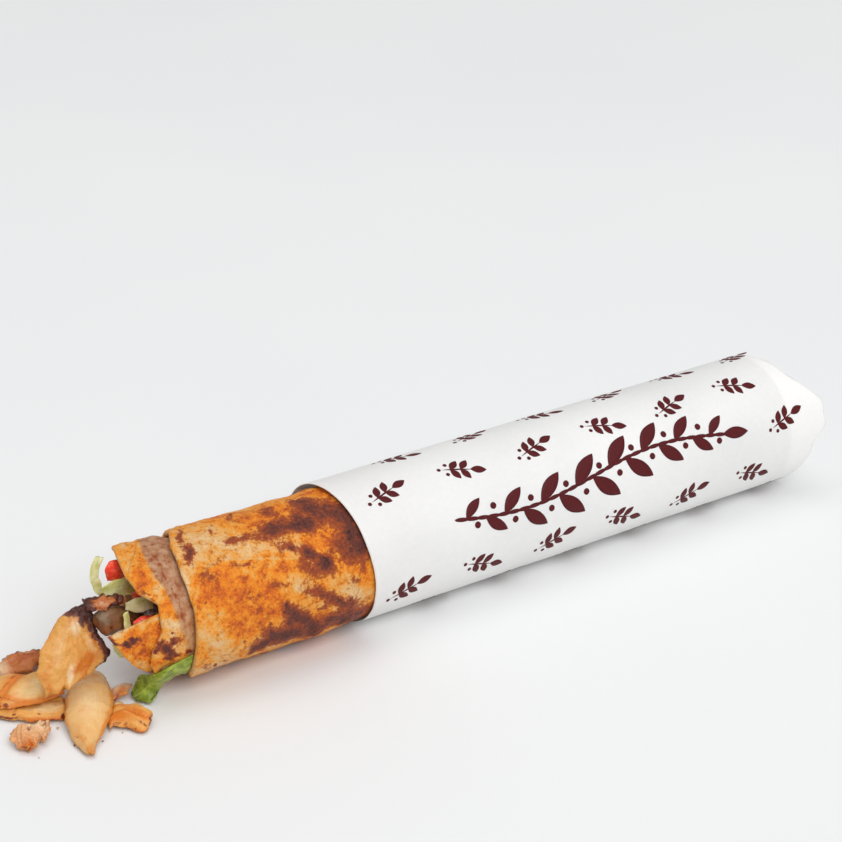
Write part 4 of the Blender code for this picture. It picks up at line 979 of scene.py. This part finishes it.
def make_spilled_chicken(smooth, pale, stringy, seared, browned):
    """The six carved slices and the two torn scraps. A slab lies between two edge curves, and a
    blade follows a spine. Masks place the char, spice, pale flesh and folds on each; on the
    charred slice one pale mark is a painted highlight."""
    slab("carved_slice_charred",
         ((-0.2168, 0.0026, 0.0365), (-0.2208, 0.0017, 0.0346), (-0.2246, 0.0001, 0.0314),
          (-0.2283, -0.0017, 0.0278), (-0.2310, -0.0036, 0.0240), (-0.2323, -0.0053, 0.0204),
          (-0.2325, -0.0072, 0.0165), (-0.2320, -0.0093, 0.0125)),
         ((-0.2083, 0.0040, 0.0377), (-0.2080, 0.0012, 0.0320), (-0.2073, -0.0016, 0.0273),
          (-0.2056, -0.0042, 0.0227), (-0.2061, -0.0062, 0.0185), (-0.2102, -0.0073, 0.0164),
          (-0.2154, -0.0084, 0.0148), (-0.2193, -0.0098, 0.0128)),
         (0.0018, 0.0020, 0.0016, 0.0014, 0.0012, 0.0009), seared, arch=0.0016, ruffle=0.0009,
         seed=21, rows=150, sides=140, crumble=0.00025,
         browning=(0.25, 0.1), bites=((0.0, 0.20, 0.0026), (0.95, 0.35, 0.0022)),
         masks={"char": ((0.0, -0.5, 0.20, 0.6, 0, 0.9), (0.04, 0.4, 0.34, 0.7, 0, 1.0),
                         (0.15, 0.16, 0.24, 0.10, 15, 0.9), (0.17, 0.78, 0.5, 0.30, 8, 0.95),
                         (0.36, 0.90, 0.6, 0.20, 8, 0.9), (0.47, 1.0, 0.3, 0.14, 0, 0.85),
                         (0.64, 0.96, 0.2, 0.08, 0, 0.5)),
                "season": ((0.62, 0.30, 0.34, 0.24, -30, 1.0), (0.12, -0.2, 0.4, 0.3, 0, 0.3),
                           (0.90, -0.75, 0.8, 0.14, 0, 0.4), (0.30, 0.60, 0.5, 0.12, 10, 0.5),
                           (0.80, 0.62, 0.5, 0.12, 20, 0.4)),
                # The strongest pale mark, at 0.78 along, is a painted highlight on the pale flesh.
                "pale": ((0.20, -0.12, 0.30, 0.22, 40, 1.1), (0.78, 0.08, 0.40, 0.12, 25, 1.4),
                         (0.42, 0.45, 0.4, 0.18, 0, 0.5), (0.56, 0.95, 0.22, 0.12, 0, 1.3),
                         (0.45, -0.55, 0.8, 0.2, 0, 0.4)),
                "lift": ((0.62, -0.08, 1.3, 0.07, 12, -0.5), (0.64, 0.08, 1.2, 0.12, 12, 0.45),
                         (0.18, 0.35, 0.6, 0.10, 60, 0.6), (0.25, 0.05, 0.5, 0.10, 40, -0.5),
                         (0.40, 0.82, 0.9, 0.14, 8, 0.7), (0.8, -0.6, 0.8, 0.08, 0, -0.25),
                         (0.05, 0.75, 0.5, 0.3, 0, 0.9))})
    blade("carved_slice_drop",
          ((-0.2075, 0.0070, 0.0032), (-0.2130, -0.0040, 0.0046), (-0.2188, -0.0148, 0.0046),
           (-0.2240, -0.0250, 0.0030), (-0.2271, -0.0345, 0.0015)),
          ((0.95, -0.30, 0.0),),
          (0.0042, 0.0080, 0.0087, 0.0055, 0.0012), (0.0020, 0.0032, 0.0030, 0.0020, 0.0009), smooth,
          arch=0.0012, ruffle=0.0004, seed=22, rows=150, sides=130, ragged=0.00025, lumps=0.0002,
          strands=0.00003, browning=(0.35, 0.0),
          masks={"char": ((0.80, -0.75, 0.35, 0.06, 40, 0.5), (0.84, -0.3, 0.2, 0.05, 70, 0.35)),
                 "season": ((0.25, 0.98, 1.5, 0.12, 0, 0.8), (0.30, -0.98, 1.8, 0.10, 0, 0.6),
                            (0.98, 0.0, 0.3, 0.8, 0, 0.6), (0.70, 0.95, 0.9, 0.10, 0, 0.5),
                            (0.84, -0.5, 0.35, 0.22, 20, 0.5), (0.12, 0.1, 0.6, 0.5, 0, 0.3)),
                 "pale": ((0.50, 0.10, 1.3, 0.75, 10, 0.6),),
                 "lift": ((0.83, -0.35, 0.9, 0.08, 55, -0.45), (0.86, -0.5, 0.5, 0.16, 30, 0.35),
                          (0.45, 0.35, 1.6, 0.10, 5, 0.15), (0.5, 0.1, 1.4, 0.08, 5, -0.12))})
    slab("carved_slice_left",
         ((-0.2170, 0.0125, 0.0050), (-0.2205, 0.0165, 0.0052), (-0.2241, 0.0173, 0.0054),
          (-0.2301, 0.0196, 0.0052), (-0.2347, 0.0222, 0.0050), (-0.2402, 0.0232, 0.0042),
          (-0.2450, 0.0210, 0.0034)),
         ((-0.2222, -0.0030, 0.0070), (-0.2262, -0.0034, 0.0066), (-0.2305, -0.0029, 0.0064),
          (-0.2363, -0.0018, 0.0062), (-0.2418, 0.0016, 0.0058), (-0.2458, 0.0062, 0.0050),
          (-0.2482, 0.0100, 0.0040)),
         (0.0012, 0.0016, 0.0016, 0.0010), pale, arch=0.0014, ruffle=0.0008, seed=23, rows=110,
         sides=120,
         masks={"char": ((0.75, 0.9, 0.3, 0.12, 0, 0.5), (0.62, -0.16, 1.1, 0.03, 62, 0.45),
                         (0.76, 0.50, 0.6, 0.03, -35, 0.45), (0.95, 0.6, 0.2, 0.2, 0, 0.4)),
                "season": ((0.60, -0.1, 1.3, 0.14, 62, 0.9), (0.72, 0.55, 0.7, 0.12, -35, 0.8),
                           (0.90, -0.4, 0.5, 0.5, 0, 0.5), (0.35, 0.95, 1.3, 0.08, 0, 0.5),
                           (0.40, -0.9, 1.0, 0.12, 0, 0.5),),
                "pale": ((0.36, 0.15, 0.6, 0.4, 0, 0.7), (0.50, 0.65, 0.6, 0.3, 0, 0.6)),
                "lift": ((0.60, -0.05, 1.4, 0.07, 62, -0.55), (0.52, 0.05, 1.4, 0.14, 62, 0.45),
                         (0.74, 0.55, 0.8, 0.07, -35, -0.4), (0.85, 0.2, 0.8, 0.16, 80, 0.4))})
    slab("carved_slice_under",
         ((-0.2213, 0.0020, 0.0028), (-0.2252, 0.0025, 0.0030), (-0.2296, 0.0028, 0.0030),
          (-0.2354, 0.0036, 0.0030), (-0.2406, 0.0058, 0.0028), (-0.2461, 0.0100, 0.0024)),
         ((-0.2247, -0.0086, 0.0011), (-0.2292, -0.0092, 0.0016), (-0.2344, -0.0070, 0.0016),
          (-0.2387, -0.0035, 0.0016), (-0.2426, 0.0006, 0.0016), (-0.2476, 0.0060, 0.0016)),
         (0.0008, 0.0014, 0.0014, 0.0008), pale, arch=0.0008, ruffle=0.0006, seed=24, rows=110,
         sides=110, ragged=0.0006,
         masks={"char": ((0.02, 0.9, 0.4, 0.20, 0, 0.75), (0.40, 0.55, 0.12, 0.08, 0, 0.8),
                         (0.72, 0.6, 0.12, 0.1, 0, 0.8), (0.85, 0.9, 0.8, 0.12, 0, 0.6),
                         (0.3, 1.0, 0.8, 0.08, 0, 0.5)),
                "season": ((0.3, 0.92, 1.4, 0.12, 0, 0.7), (0.80, 0.3, 0.6, 0.5, 0, 0.4),
                           (0.25, -0.8, 1.2, 0.12, 0, 0.5)),
                "pale": ((0.28, 0.1, 1.2, 0.4, 0, 1.0),),
                "lift": ((0.35, -0.55, 1.8, 0.12, 0, 0.4), (0.35, -0.75, 1.8, 0.08, 0, -0.3),
                         (0.72, 0.2, 0.9, 0.10, 70, -0.4))})
    blade("carved_slice_back",
          ((-0.2180, 0.0302, 0.0036), (-0.2260, 0.0285, 0.0042), (-0.2360, 0.0278, 0.0028)),
          ((0.40, 0.90, 0.0),), (0.0036, 0.0068, 0.0034), (0.0016, 0.0028, 0.0014), browned,
          ruffle=0.0010, seed=25, rows=110, sides=110, ragged=0.0009, lumps=0.0005,
          crumble=0.00035, browning=(0.3, 0.5),
          masks={"char": ((0.03, 0.0, 0.4, 0.8, 0, 0.6), (0.5, 0.95, 1.4, 0.14, 0, 0.7),
                          (0.45, 0.2, 0.9, 0.12, 40, 0.45)),
                 "season": ((0.4, -0.2, 0.7, 0.4, 0, 0.6),),
                 "pale": ((0.95, 0.0, 0.5, 1.0, 0, 1.3), (0.4, 0.5, 0.9, 0.25, 20, 0.5)),
                 "lift": ((0.4, 0.1, 1.2, 0.14, 30, 0.6), (0.5, -0.2, 1.0, 0.1, 30, -0.5))})
    slab("carved_slice_right",
         ((-0.2094, -0.0144, 0.0009), (-0.2078, -0.0132, 0.0020), (-0.2050, -0.0136, 0.0028),
          (-0.2014, -0.0172, 0.0030), (-0.1994, -0.0212, 0.0026), (-0.1992, -0.0248, 0.0020)),
         ((-0.2158, -0.0243, 0.0007), (-0.2142, -0.0240, 0.0012), (-0.2114, -0.0246, 0.0018),
          (-0.2088, -0.0276, 0.0018), (-0.2052, -0.0318, 0.0018), (-0.2018, -0.0300, 0.0018)),
         (0.0006, 0.0013, 0.0017, 0.0017, 0.0010), pale, arch=0.0012, ruffle=0.0008, seed=26,
         rows=100, sides=110, browning=(0.7, 0.35),
         masks={"char": ((0.80, 0.70, 0.3, 0.08, 30, 0.6), (0.95, 0.4, 0.2, 0.2, 0, 0.6),
                         (0.3, 0.9, 0.9, 0.1, 0, 0.35), (0.55, 0.15, 0.7, 0.06, 10, 0.45)),
                "season": ((0.30, 0.5, 1.0, 0.3, 0, 0.9), (0.75, 0.2, 0.7, 0.22, 20, 0.9),
                           (0.35, -0.3, 0.9, 0.12, 0, 0.6)),
                "pale": ((0.70, -0.6, 0.7, 0.3, 0, 1.0), (0.25, -0.7, 0.6, 0.2, 0, 0.6)),
                "lift": ((0.45, 0.10, 1.4, 0.09, 8, -0.6), (0.50, 0.40, 1.3, 0.16, 8, 0.5),
                         (0.55, -0.35, 1.2, 0.16, 0, 0.5), (0.4, -0.62, 1.0, 0.08, 0, -0.3))})
    blade("carved_crumb",
          ((-0.2326, -0.0110, 0.0028), (-0.2364, -0.0136, 0.0034), (-0.2416, -0.0158, 0.0038),
           (-0.2440, -0.0220, 0.0024)),
          ((0.60, -0.70, 0.0),), (0.0016, 0.0036, 0.0050, 0.0022),
          (0.0012, 0.0024, 0.0028, 0.0014), stringy,
          ruffle=0.0013, seed=27, rows=110, sides=110, ragged=0.0013, strands=0.0003, lumps=0.0005,
          crumble=0.0011, browning=(0.3, 0.2),
          masks={"char": ((0.35, 0.5, 0.3, 0.2, 0, 0.6), (0.1, 0.5, 0.3, 0.3, 0, 0.5),
                          (0.6, -0.1, 0.2, 0.15, 0, 0.5)),
                 "season": ((0.95, 0.0, 0.3, 1.0, 0, 1.0),),
                 "pale": ((0.4, 0.0, 1.0, 1.0, 0, 0.8),)})
    blade("carved_scrap",
          ((-0.2074, -0.0096, 0.0018), (-0.2040, -0.0077, 0.0030), (-0.2002, -0.0058, 0.0032),
           (-0.1968, -0.0046, 0.0026)),
          ((0.44, -0.90, 0.0),), (0.0012, 0.0030, 0.0024, 0.0008), (0.0006, 0.0012, 0.0012, 0.0006),
          stringy, ruffle=0.0005, seed=28, rows=70, sides=56, lumps=0.0004,
          masks={"char": ((0.15, 0.6, 1.0, 0.4, 0, 0.5),), "season": ((0.2, 0.3, 1.5, 0.6, 0, 0.6),),
                 "pale": ((0.7, -0.2, 2.0, 0.7, 0, 1.0),)})


def make_lettuce_leaf(finish):
    """A leaf between two edge curves, crowned across and rippled along, with a rib down its middle
    and side ribs that slant forward from it. Its other face is the same grid, 0.5 mm further in."""
    rows, columns = 120, 60
    upper = curve_through(
        ((-0.1812, -0.0243, 0.0205), (-0.1845, -0.0243, 0.0198), (-0.1880, -0.0240, 0.0188),
         (-0.1922, -0.0238, 0.0172), (-0.1953, -0.0188, 0.0138), (-0.1967, -0.0128, 0.0111),
         (-0.1977, -0.0097, 0.0068), (-0.1998, -0.0090, 0.0023)), rows)
    lower = curve_through(
        ((-0.1822, -0.0186, 0.0095), (-0.1842, -0.0190, 0.0107), (-0.1870, -0.0184, 0.0100),
         (-0.1889, -0.0162, 0.0071), (-0.1906, -0.0157, 0.0048), (-0.1929, -0.0163, 0.0028),
         (-0.1960, -0.0168, 0.0016), (-0.1993, -0.0136, 0.0013)), rows)
    u = np.linspace(0, 1, rows)[:, None]
    v = np.linspace(0, 1, columns)[None, :]
    face = upper[:, None] + (lower - upper)[:, None] * v[..., None]
    normal = unit(np.cross(np.gradient(face, axis=0), np.gradient(face, axis=1)))
    ripple = 0.0004 * np.sin(11.0 * u + 4.4 * v) * (0.4 + 1.2 * np.abs(v - 0.5))
    side_rib = np.abs(((u * 7 - 2.2 * np.abs(v - 0.5)) % 1.0) - 0.5) * 2
    rib = np.maximum(0.5 * np.exp(-((v - 0.5) / 0.05) ** 2),
                     0.2 * smooth_step((side_rib - 0.75) / 0.25))
    crown = read_keys((0.0010, 0.0008, 0.0004, 0.0003), u[:, 0])[:, None] * 4 * v * (1 - v)
    away = crown + ripple * smooth_step(6 * u - 1) + 0.00012 * rib
    away = away + 0.0002 * noise(face, 0.003, 140, 3)
    frill = 0.0006 * noise(np.stack(np.broadcast_arrays(u * 0.03, v), axis=-1), 0.003, 150, 2)
    spread = unit(lower - upper)[:, None] * (frill * (2 * v - 1) ** 5)[..., None]
    face = face + normal * away[..., None] + spread * smooth_step(5 * u - 1)[..., None]
    vertices, faces = two_faced(face[None], (face - normal * 0.0005)[None])
    return make_object("green_leaf", vertices, faces.tolist(), finish,
                       {"rib": np.tile(rib.ravel(), 2)})


# ------------------------------------------------------------------ sleeve and its print

def sleeve_wave(x, angle):
    """Slight slackness of the paper: broad noise on the unrolled sheet, up to 0.12 mm."""
    sheet = np.stack([x, np.radians(angle) * SLEEVE_RADIUS], axis=-1)
    lap = 0.00025 * smooth_step((angle + 128) / 0.6) * (1 - smooth_step((angle + 60) / 60))
    return 0.00012 * noise(sheet, 0.028, 200, 2) - 0.00012 + lap * (angle > -128)


def sleeve_point(x, angle, out=0.0):
    """A point of the sleeve: round, a little slack, and flat where it meets the floor."""
    radians = np.radians(angle)
    radius = SLEEVE_RADIUS + sleeve_wave(x, angle) + out
    down = np.where(np.cos(radians) < 0, SLEEVE_FLATTENING, 1.0)
    z = SLEEVE_RADIUS + radius * down * np.cos(radians)
    z = np.maximum(z, INK_HEIGHT - out)
    return np.stack([x + 0 * z, -radius * np.sin(radians), z], axis=-1)


def sleeve_rim_x(angle):
    """The sleeve's slanted rim: its mean x, less the side slant times the cosine of the angle,
    plus the near slant times its sine."""
    radians = np.radians(angle)
    return (SLEEVE_RIM_X - SLEEVE_RIM_SLANT_SIDE * np.cos(radians)
            + SLEEVE_RIM_SLANT_NEAR * np.sin(radians))


def make_sleeve(finish):
    """The paper tube: a pleated end drawn in to its middle, a round fold, the long side, and the
    inner face from the rim in."""
    angle = np.linspace(-180, 180, 360, endpoint=False)
    folded_x = round_profile(SLEEVE_END, angle)
    smooth_x = np.convolve(np.tile(folded_x, 3), np.hanning(15) / np.hanning(15).sum(), "same")
    folded_x = smooth_x[360:720]
    middle_x = folded_x.mean()
    rows = []
    for share in np.linspace(0.02, 0.97, 40):
        out = np.interp(share, (0.0, 0.35, 0.6, 0.82, 1.0), (-0.0020, 0.0, 0.0015, 0.0016, 0.0002))
        pleats = np.abs((angle * 14 / 360 + 0.8 * share) % 1.0 - 0.5) * 4 - 1
        x = middle_x + share * (folded_x - middle_x) + out + 0.0007 * pleats * share ** 0.5
        tight = sleeve_point(x, angle)
        tight[:, 1] *= share
        tight[:, 2] = SLEEVE_RADIUS + (tight[:, 2] - SLEEVE_RADIUS) * share
        rows.append(tight)
    for back, out in ((0.0004, -0.0004), (0.0010, -0.00015), (0.0018, 0.0)):
        rows.append(sleeve_point(folded_x - back, angle, out))
    rim_x = sleeve_rim_x(angle) + 0.0002 * noise(np.stack([angle / 25, 0 * angle], -1), 1.0, 5, 2)
    for share in np.linspace(0, 1, 190):
        start = folded_x - 0.0025
        rows.append(sleeve_point(start + share * (rim_x - start), angle))
    outside = len(rows)
    for back in (0.0, 0.0006, 0.0020, 0.0050, 0.0100, 0.0300, 0.1000):
        rows.append(sleeve_point(rim_x + back, angle, -SLEEVE_WALL))
    rows.append(sleeve_point(SLEEVE_CAVITY_END_X + 0 * angle, angle, -SLEEVE_WALL))
    rings = np.array(rows)
    x = rings[..., 0]
    near_mouth = 0.05 * smooth_step((-0.070 - x) / 0.040)
    stain = np.where(np.arange(len(rows))[:, None] < outside, near_mouth, 0.08)
    return closed_rings("paper_wrap", rings, finish, {"stain": stain})


def leaf_blades(shapes, rows=14, columns=5):
    """Flat ink shapes on the sleeve. Each: start x and arc in mm, direction in degrees, length,
    half width, bend and roundness. Its half width at u is that of a lens, or of a disc where
    roundness is 1, and its middle line bends sideways by bend times u squared."""
    at_x, at_arc, turn, length, half, bend, roundness = np.array(shapes, float).T[..., None, None]
    u = np.linspace(0, 1, rows)[None, :, None]
    v = np.linspace(-1, 1, columns)[None, None, :]
    lens = np.sin(np.pi * u) ** (0.9 - 0.4 * roundness)
    along = length * u
    sideways = half * lens * v + bend * u ** 2
    cos, sin = np.cos(np.radians(turn)), np.sin(np.radians(turn))
    x = (at_x + along * cos - sideways * sin) / 1000
    arc = (at_arc + along * sin + sideways * cos) / 1000
    angle = np.degrees(arc / SLEEVE_RADIUS)
    return sleeve_point(x, angle, INK_HEIGHT), sleeve_point(x, angle, -0.00004)


def sprig(x, arc, turn, size):
    """A small sprig: a stem, two pairs of leaves and one at its tip, and three berries."""
    def placed(forward, sideways, direction, length, half, bend=0.0, roundness=0.0):
        """A shape of the sprig, turned and sized, at its place on the unrolled sheet."""
        cos, sin = math.cos(math.radians(turn)), math.sin(math.radians(turn))
        return (x + size * (forward * cos - sideways * sin),
                arc + size * (forward * sin + sideways * cos), turn + direction,
                size * length, size * half, size * bend, roundness)
    shapes = [placed(-6.0, 0.0, 0, 9.5, 0.28, 0.3)]
    shapes += [placed(at, 0.0, direction, 4.4, 1.15, 0.0)
               for at in (-3.4, -0.2) for direction in (52, -52)]
    shapes.append(placed(2.8, 0.2, 4, 5.2, 1.3))
    shapes += [placed(forward, sideways, 0, 1.3, 0.62, 0.0, 1.0)
               for forward, sideways in ((-5.2, 1.9), (-5.2, -1.9), (-7.6, 0.0))]
    return shapes


def long_branch(x, arc, length, leaves):
    """A long curved branch: its stem in short joined strokes along a slow S, with leaves on
    alternate sides, longest at its middle, and berries between them."""
    def line(share):
        """The branch's middle line: one sine wave, 4 mm high, over its whole length."""
        return x + length * share, arc + 4.0 * math.sin(share * 2 * math.pi)

    shapes = []
    pieces = 28
    for k in range(pieces):
        (ax, ay), (bx, by) = line(k / pieces), line((k + 1.35) / pieces)
        shapes.append((ax, ay, math.degrees(math.atan2(by - ay, bx - ax)),
                       math.hypot(bx - ax, by - ay), 0.85, 0.0, 1.0))
    for k in range(leaves):
        share = (k + 0.6) / (leaves + 0.4)
        ax, ay = line(share)
        side = 1 if k % 2 else -1
        size = 9.5 + 6.5 * math.sin(math.pi * share)
        shapes.append((ax, ay, side * 46, size, 0.20 * size, -side * 1.4, 0.15))
        shapes.append((ax + 3.0, ay - side * 3.4, 0, 2.8, 1.35, 0.0, 1.0))
    shapes.append((*line(1.0), 8, 13.0, 2.5, 0.0, 0.15))
    return shapes


def make_print(finish):
    """Sprigs in staggered rows round the sleeve, and one long branch on the near side."""
    shapes = long_branch(-70, 30, 132, 15)
    for row, arc in enumerate(np.arange(-76, 88, 20.5)):
        for column in range(7):
            x = -92 + column * 34 + (17 if row % 2 else 0)
            beside_branch = -84 < x < 80 and 14 < arc + 5 < 48
            if x < 98 and not beside_branch:
                shapes += sprig(x, arc + 5, 16 if (row + column) % 2 else -20, 1.3)
    face, other = leaf_blades(shapes)
    vertices, faces = two_faced(face, other)
    return make_object("sleeve_print", vertices, faces.tolist(), finish)


# ------------------------------------------------------------------ crumbs

CRUMBS = 12


def make_crumbs(finish):
    """Scraps under 1 mm that fell off the meat: rough little balls on the floor, dropped by a
    seeded draw round the spill."""
    draw = np.random.default_rng(77)
    centres = np.stack([draw.uniform(-0.246, -0.202, CRUMBS), draw.uniform(-0.036, 0.034, CRUMBS)],
                       axis=-1)
    size = draw.uniform(0.0002, 0.00045, CRUMBS)
    turn = np.linspace(0, 2 * np.pi, 7, endpoint=False)
    height = np.linspace(0.15, np.pi - 0.15, 5)
    ball = np.stack([np.sin(height)[:, None] * np.cos(turn), np.sin(height)[:, None] * np.sin(turn),
                     np.cos(height)[:, None] + 0 * turn], axis=-1)
    count = ball.shape[0] * ball.shape[1]
    vertices, faces = [], []
    index = np.arange(count).reshape(ball.shape[:2])
    beside = np.roll(index, -1, axis=1)
    quads = np.stack([index[:-1], index[1:], beside[1:], beside[:-1]], axis=-1).reshape(-1, 4)
    for number, (centre, reach) in enumerate(zip(centres, size)):
        rough = ball * (1 + 0.35 * noise(ball + number, 0.8, 9))[..., None] * reach
        rough = rough * np.array([1.3, 1.0, 0.8])
        rough[..., 2] -= rough[..., 2].min() - FLOOR_GAP / 2
        vertices.append(rough.reshape(-1, 3) + np.array([*centre, 0.0]))
        start = number * count
        faces += (quads + start).tolist()
        faces += [(index[0][::-1] + start).tolist(), (index[-1] + start).tolist()]
    vertices = np.vstack(vertices)
    masks = {"season": np.repeat(draw.uniform(0.2, 0.9, CRUMBS), count),
             "pale": np.zeros(len(vertices)),
             "char": np.repeat(draw.uniform(0.2, 0.9, CRUMBS), count)}
    return make_object("fallen_crumbs", vertices, faces, finish, masks)


# ------------------------------------------------------------------ stage, light and camera

def make_floor():
    """A plain matt sheet, wide enough to fill the view from any side."""
    made, tree, shader = new_finish("matt white sweep")
    place = add(tree, "TexCoord").outputs["Object"]
    cloud = add(tree, "TexNoise", None, {"Vector": place, "Scale": 3.0, "Detail": 2.0})
    colour = add(tree, "ValToRGB", {"stops": ((0.3, "eaebec"), (0.7, "edeeee"))},
                 {"Fac": cloud.outputs["Fac"]})
    tree.links.new(colour.outputs[0], shader.inputs["Base Color"])
    shader.inputs["Roughness"].default_value = 0.9
    shader.inputs["Specular IOR Level"].default_value = 0.1
    mesh = bpy.data.meshes.new("sweep")
    half = 6.0
    mesh.from_pydata([(-half, -half, 0), (half, -half, 0), (half, half, 0), (-half, half, 0)], [],
                     [(0, 1, 2, 3)])
    mesh.materials.append(made)
    floor = bpy.data.objects.new("sweep", mesh)
    bpy.context.collection.objects.link(floor)


SURROUND_STRENGTH = 0.45
LIT_MIDDLE = (-0.08, 0.0, 0.03)  # the softboxes face this point, a little inside the sleeve's mouth


def make_light(name, location, target, size, power):
    """A square softbox that faces a target."""
    lamp = bpy.data.lights.new(name, "AREA")
    lamp.shape = "SQUARE"
    lamp.size = size
    lamp.energy = power
    made = bpy.data.objects.new(name, lamp)
    made.location = location
    away = Vector(location) - Vector(target)
    made.rotation_euler = away.to_track_quat("Z", "Y").to_euler()
    bpy.context.collection.objects.link(made)


def make_lights():
    """An even pale surround, a wide softbox overhead and a stronger one on the near side."""
    world = bpy.data.worlds.new("studio")
    world.use_nodes = True
    world.node_tree.nodes["Background"].inputs["Color"].default_value = linear("f8f8f8")
    world.node_tree.nodes["Background"].inputs["Strength"].default_value = SURROUND_STRENGTH
    bpy.context.scene.world = world
    bpy.context.scene.view_settings.view_transform = "Standard"
    make_light("overhead softbox", (-0.50, 0.50, 4.60), LIT_MIDDLE, 3.6, 64.0)
    make_light("near softbox", (-0.30, -3.70, 4.00), LIT_MIDDLE, 3.2, 166.0)


def make_camera():
    """The camera looks at its target from the given azimuth and elevation. Its focal length in
    pixels over the picture's width gives that of the lens over the sensor's."""
    lens = bpy.data.cameras.new("camera")
    lens.sensor_width = 36.0
    lens.lens = 36.0 * CAMERA_FOCAL_PX / IMAGE_WIDTH
    lens.clip_start = 0.01
    made = bpy.data.objects.new("camera", lens)
    azimuth, elevation = math.radians(CAMERA_AZIMUTH), math.radians(CAMERA_ELEVATION)
    back = Vector((math.sin(azimuth) * math.cos(elevation),
                   -math.cos(azimuth) * math.cos(elevation), math.sin(elevation)))
    made.location = Vector(CAMERA_TARGET) + back * CAMERA_DISTANCE
    made.rotation_euler = back.to_track_quat("Z", "Y").to_euler()
    bpy.context.collection.objects.link(made)
    bpy.context.scene.camera = made


# ------------------------------------------------------------------ the scene

def main():
    """Dresses each node with its piece, and adds the print and the crumbs."""
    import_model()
    make_camera()
    make_lights()
    make_floor()

    dress(make_sleeve(sleeve_paper()), "sleeve_paper", "paper_sleeve")
    dress(make_print(sleeve_ink()), "sleeve_paper")
    griddled = griddled_flatbread("griddled flatbread")
    dress(make_outer_bread(griddled), "griddled_bread", "outer_bread")
    dress(make_inner_turn("inner_flatbread", INNER_FRONT, INNER_RADIUS, INNER_END_X, inner_swell,
                          (INNER_SCORCH, INNER_TOAST), STEAMED_FROM, 0.52, griddled, 110),
          "steamed_bread", "inner_bread")
    never = ((-180, 0.0), (0, 0.0))
    dress(make_inner_turn("folded_flatbread", FOLD_FRONT, FOLD_RADIUS, FOLD_END_X, fold_swell,
                          (TONGUE_SCORCH, TONGUE_TOAST), never, 0.66, griddled, 120),
          "griddled_bread", "bread_fold")

    stewed = roast_chicken("stewed chicken", "7d5a3c", "a08a70", "96562c", "3c1d14")
    smooth = roast_chicken("smooth chicken breast", "eaba78", "f0cf9c", "de8e3c", "94401a", 0.97)
    pale = roast_chicken("carved chicken breast", "ecb05c", "f0cc90", "e08228", "8a3a1c")
    seared = roast_chicken("seared chicken", "e0a350", "edcc9e", "d5771f", "6e392c")
    stringy = roast_chicken("stringy chicken", "e6ad78", "efcba4", "dc8038", "84402c")
    browned = roast_chicken("browned chicken", "c07238", "e8c298", "b45c28", "5c2616")
    dress(make_filling(stewed), "chopped_chicken", "chicken_filling")
    before = set(bpy.data.objects)
    make_tomato(tomato_flesh())
    make_lettuce_shreds(cut_lettuce("cut iceberg lettuce", "f6f2c2", "d6d284"))
    make_mouth_chicken(stewed, browned)
    make_spilled_chicken(smooth, pale, stringy, seared, browned)
    made = {piece.name: piece for piece in set(bpy.data.objects) - before}
    for name, slot, node in (
            ("tomato_piece_upper", "tomato", "tomato_upper"),
            ("tomato_piece_deep", "tomato", "tomato_deep"),
            ("tomato_piece_lower", "tomato", "tomato_lower"),
            ("lettuce_shred_hook", "iceberg_lettuce", "lettuce_hook"),
            ("lettuce_shred_upper", "iceberg_lettuce", "lettuce_upper"),
            ("lettuce_shred_middle", "iceberg_lettuce", "lettuce_middle"),
            ("lettuce_shred_upright", "iceberg_lettuce", "lettuce_upright"),
            ("lettuce_shred_under", "iceberg_lettuce", "lettuce_under"),
            ("stewed_chunk", "chopped_chicken", "chicken_chunk"),
            ("charred_ridge", "charred_skin", "chicken_ridge"),
            ("carved_slice_charred", "seared_chicken", "shaving_charred"),
            ("carved_slice_drop", "carved_chicken", "shaving_drop"),
            ("carved_slice_left", "carved_chicken", "shaving_left"),
            ("carved_slice_under", "carved_chicken", "shaving_under"),
            ("carved_slice_back", "seared_chicken", "shaving_back"),
            ("carved_slice_right", "carved_chicken", "shaving_right"),
            ("carved_crumb", "carved_chicken", "chicken_crumb"),
            ("carved_scrap", "seared_chicken", "chicken_scrap")):
        dress(made[name], slot, node)
    dress(make_lettuce_leaf(green_leaf()), "green_lettuce", "lettuce_leaf")
    dress(make_crumbs(pale), "carved_chicken")


main()
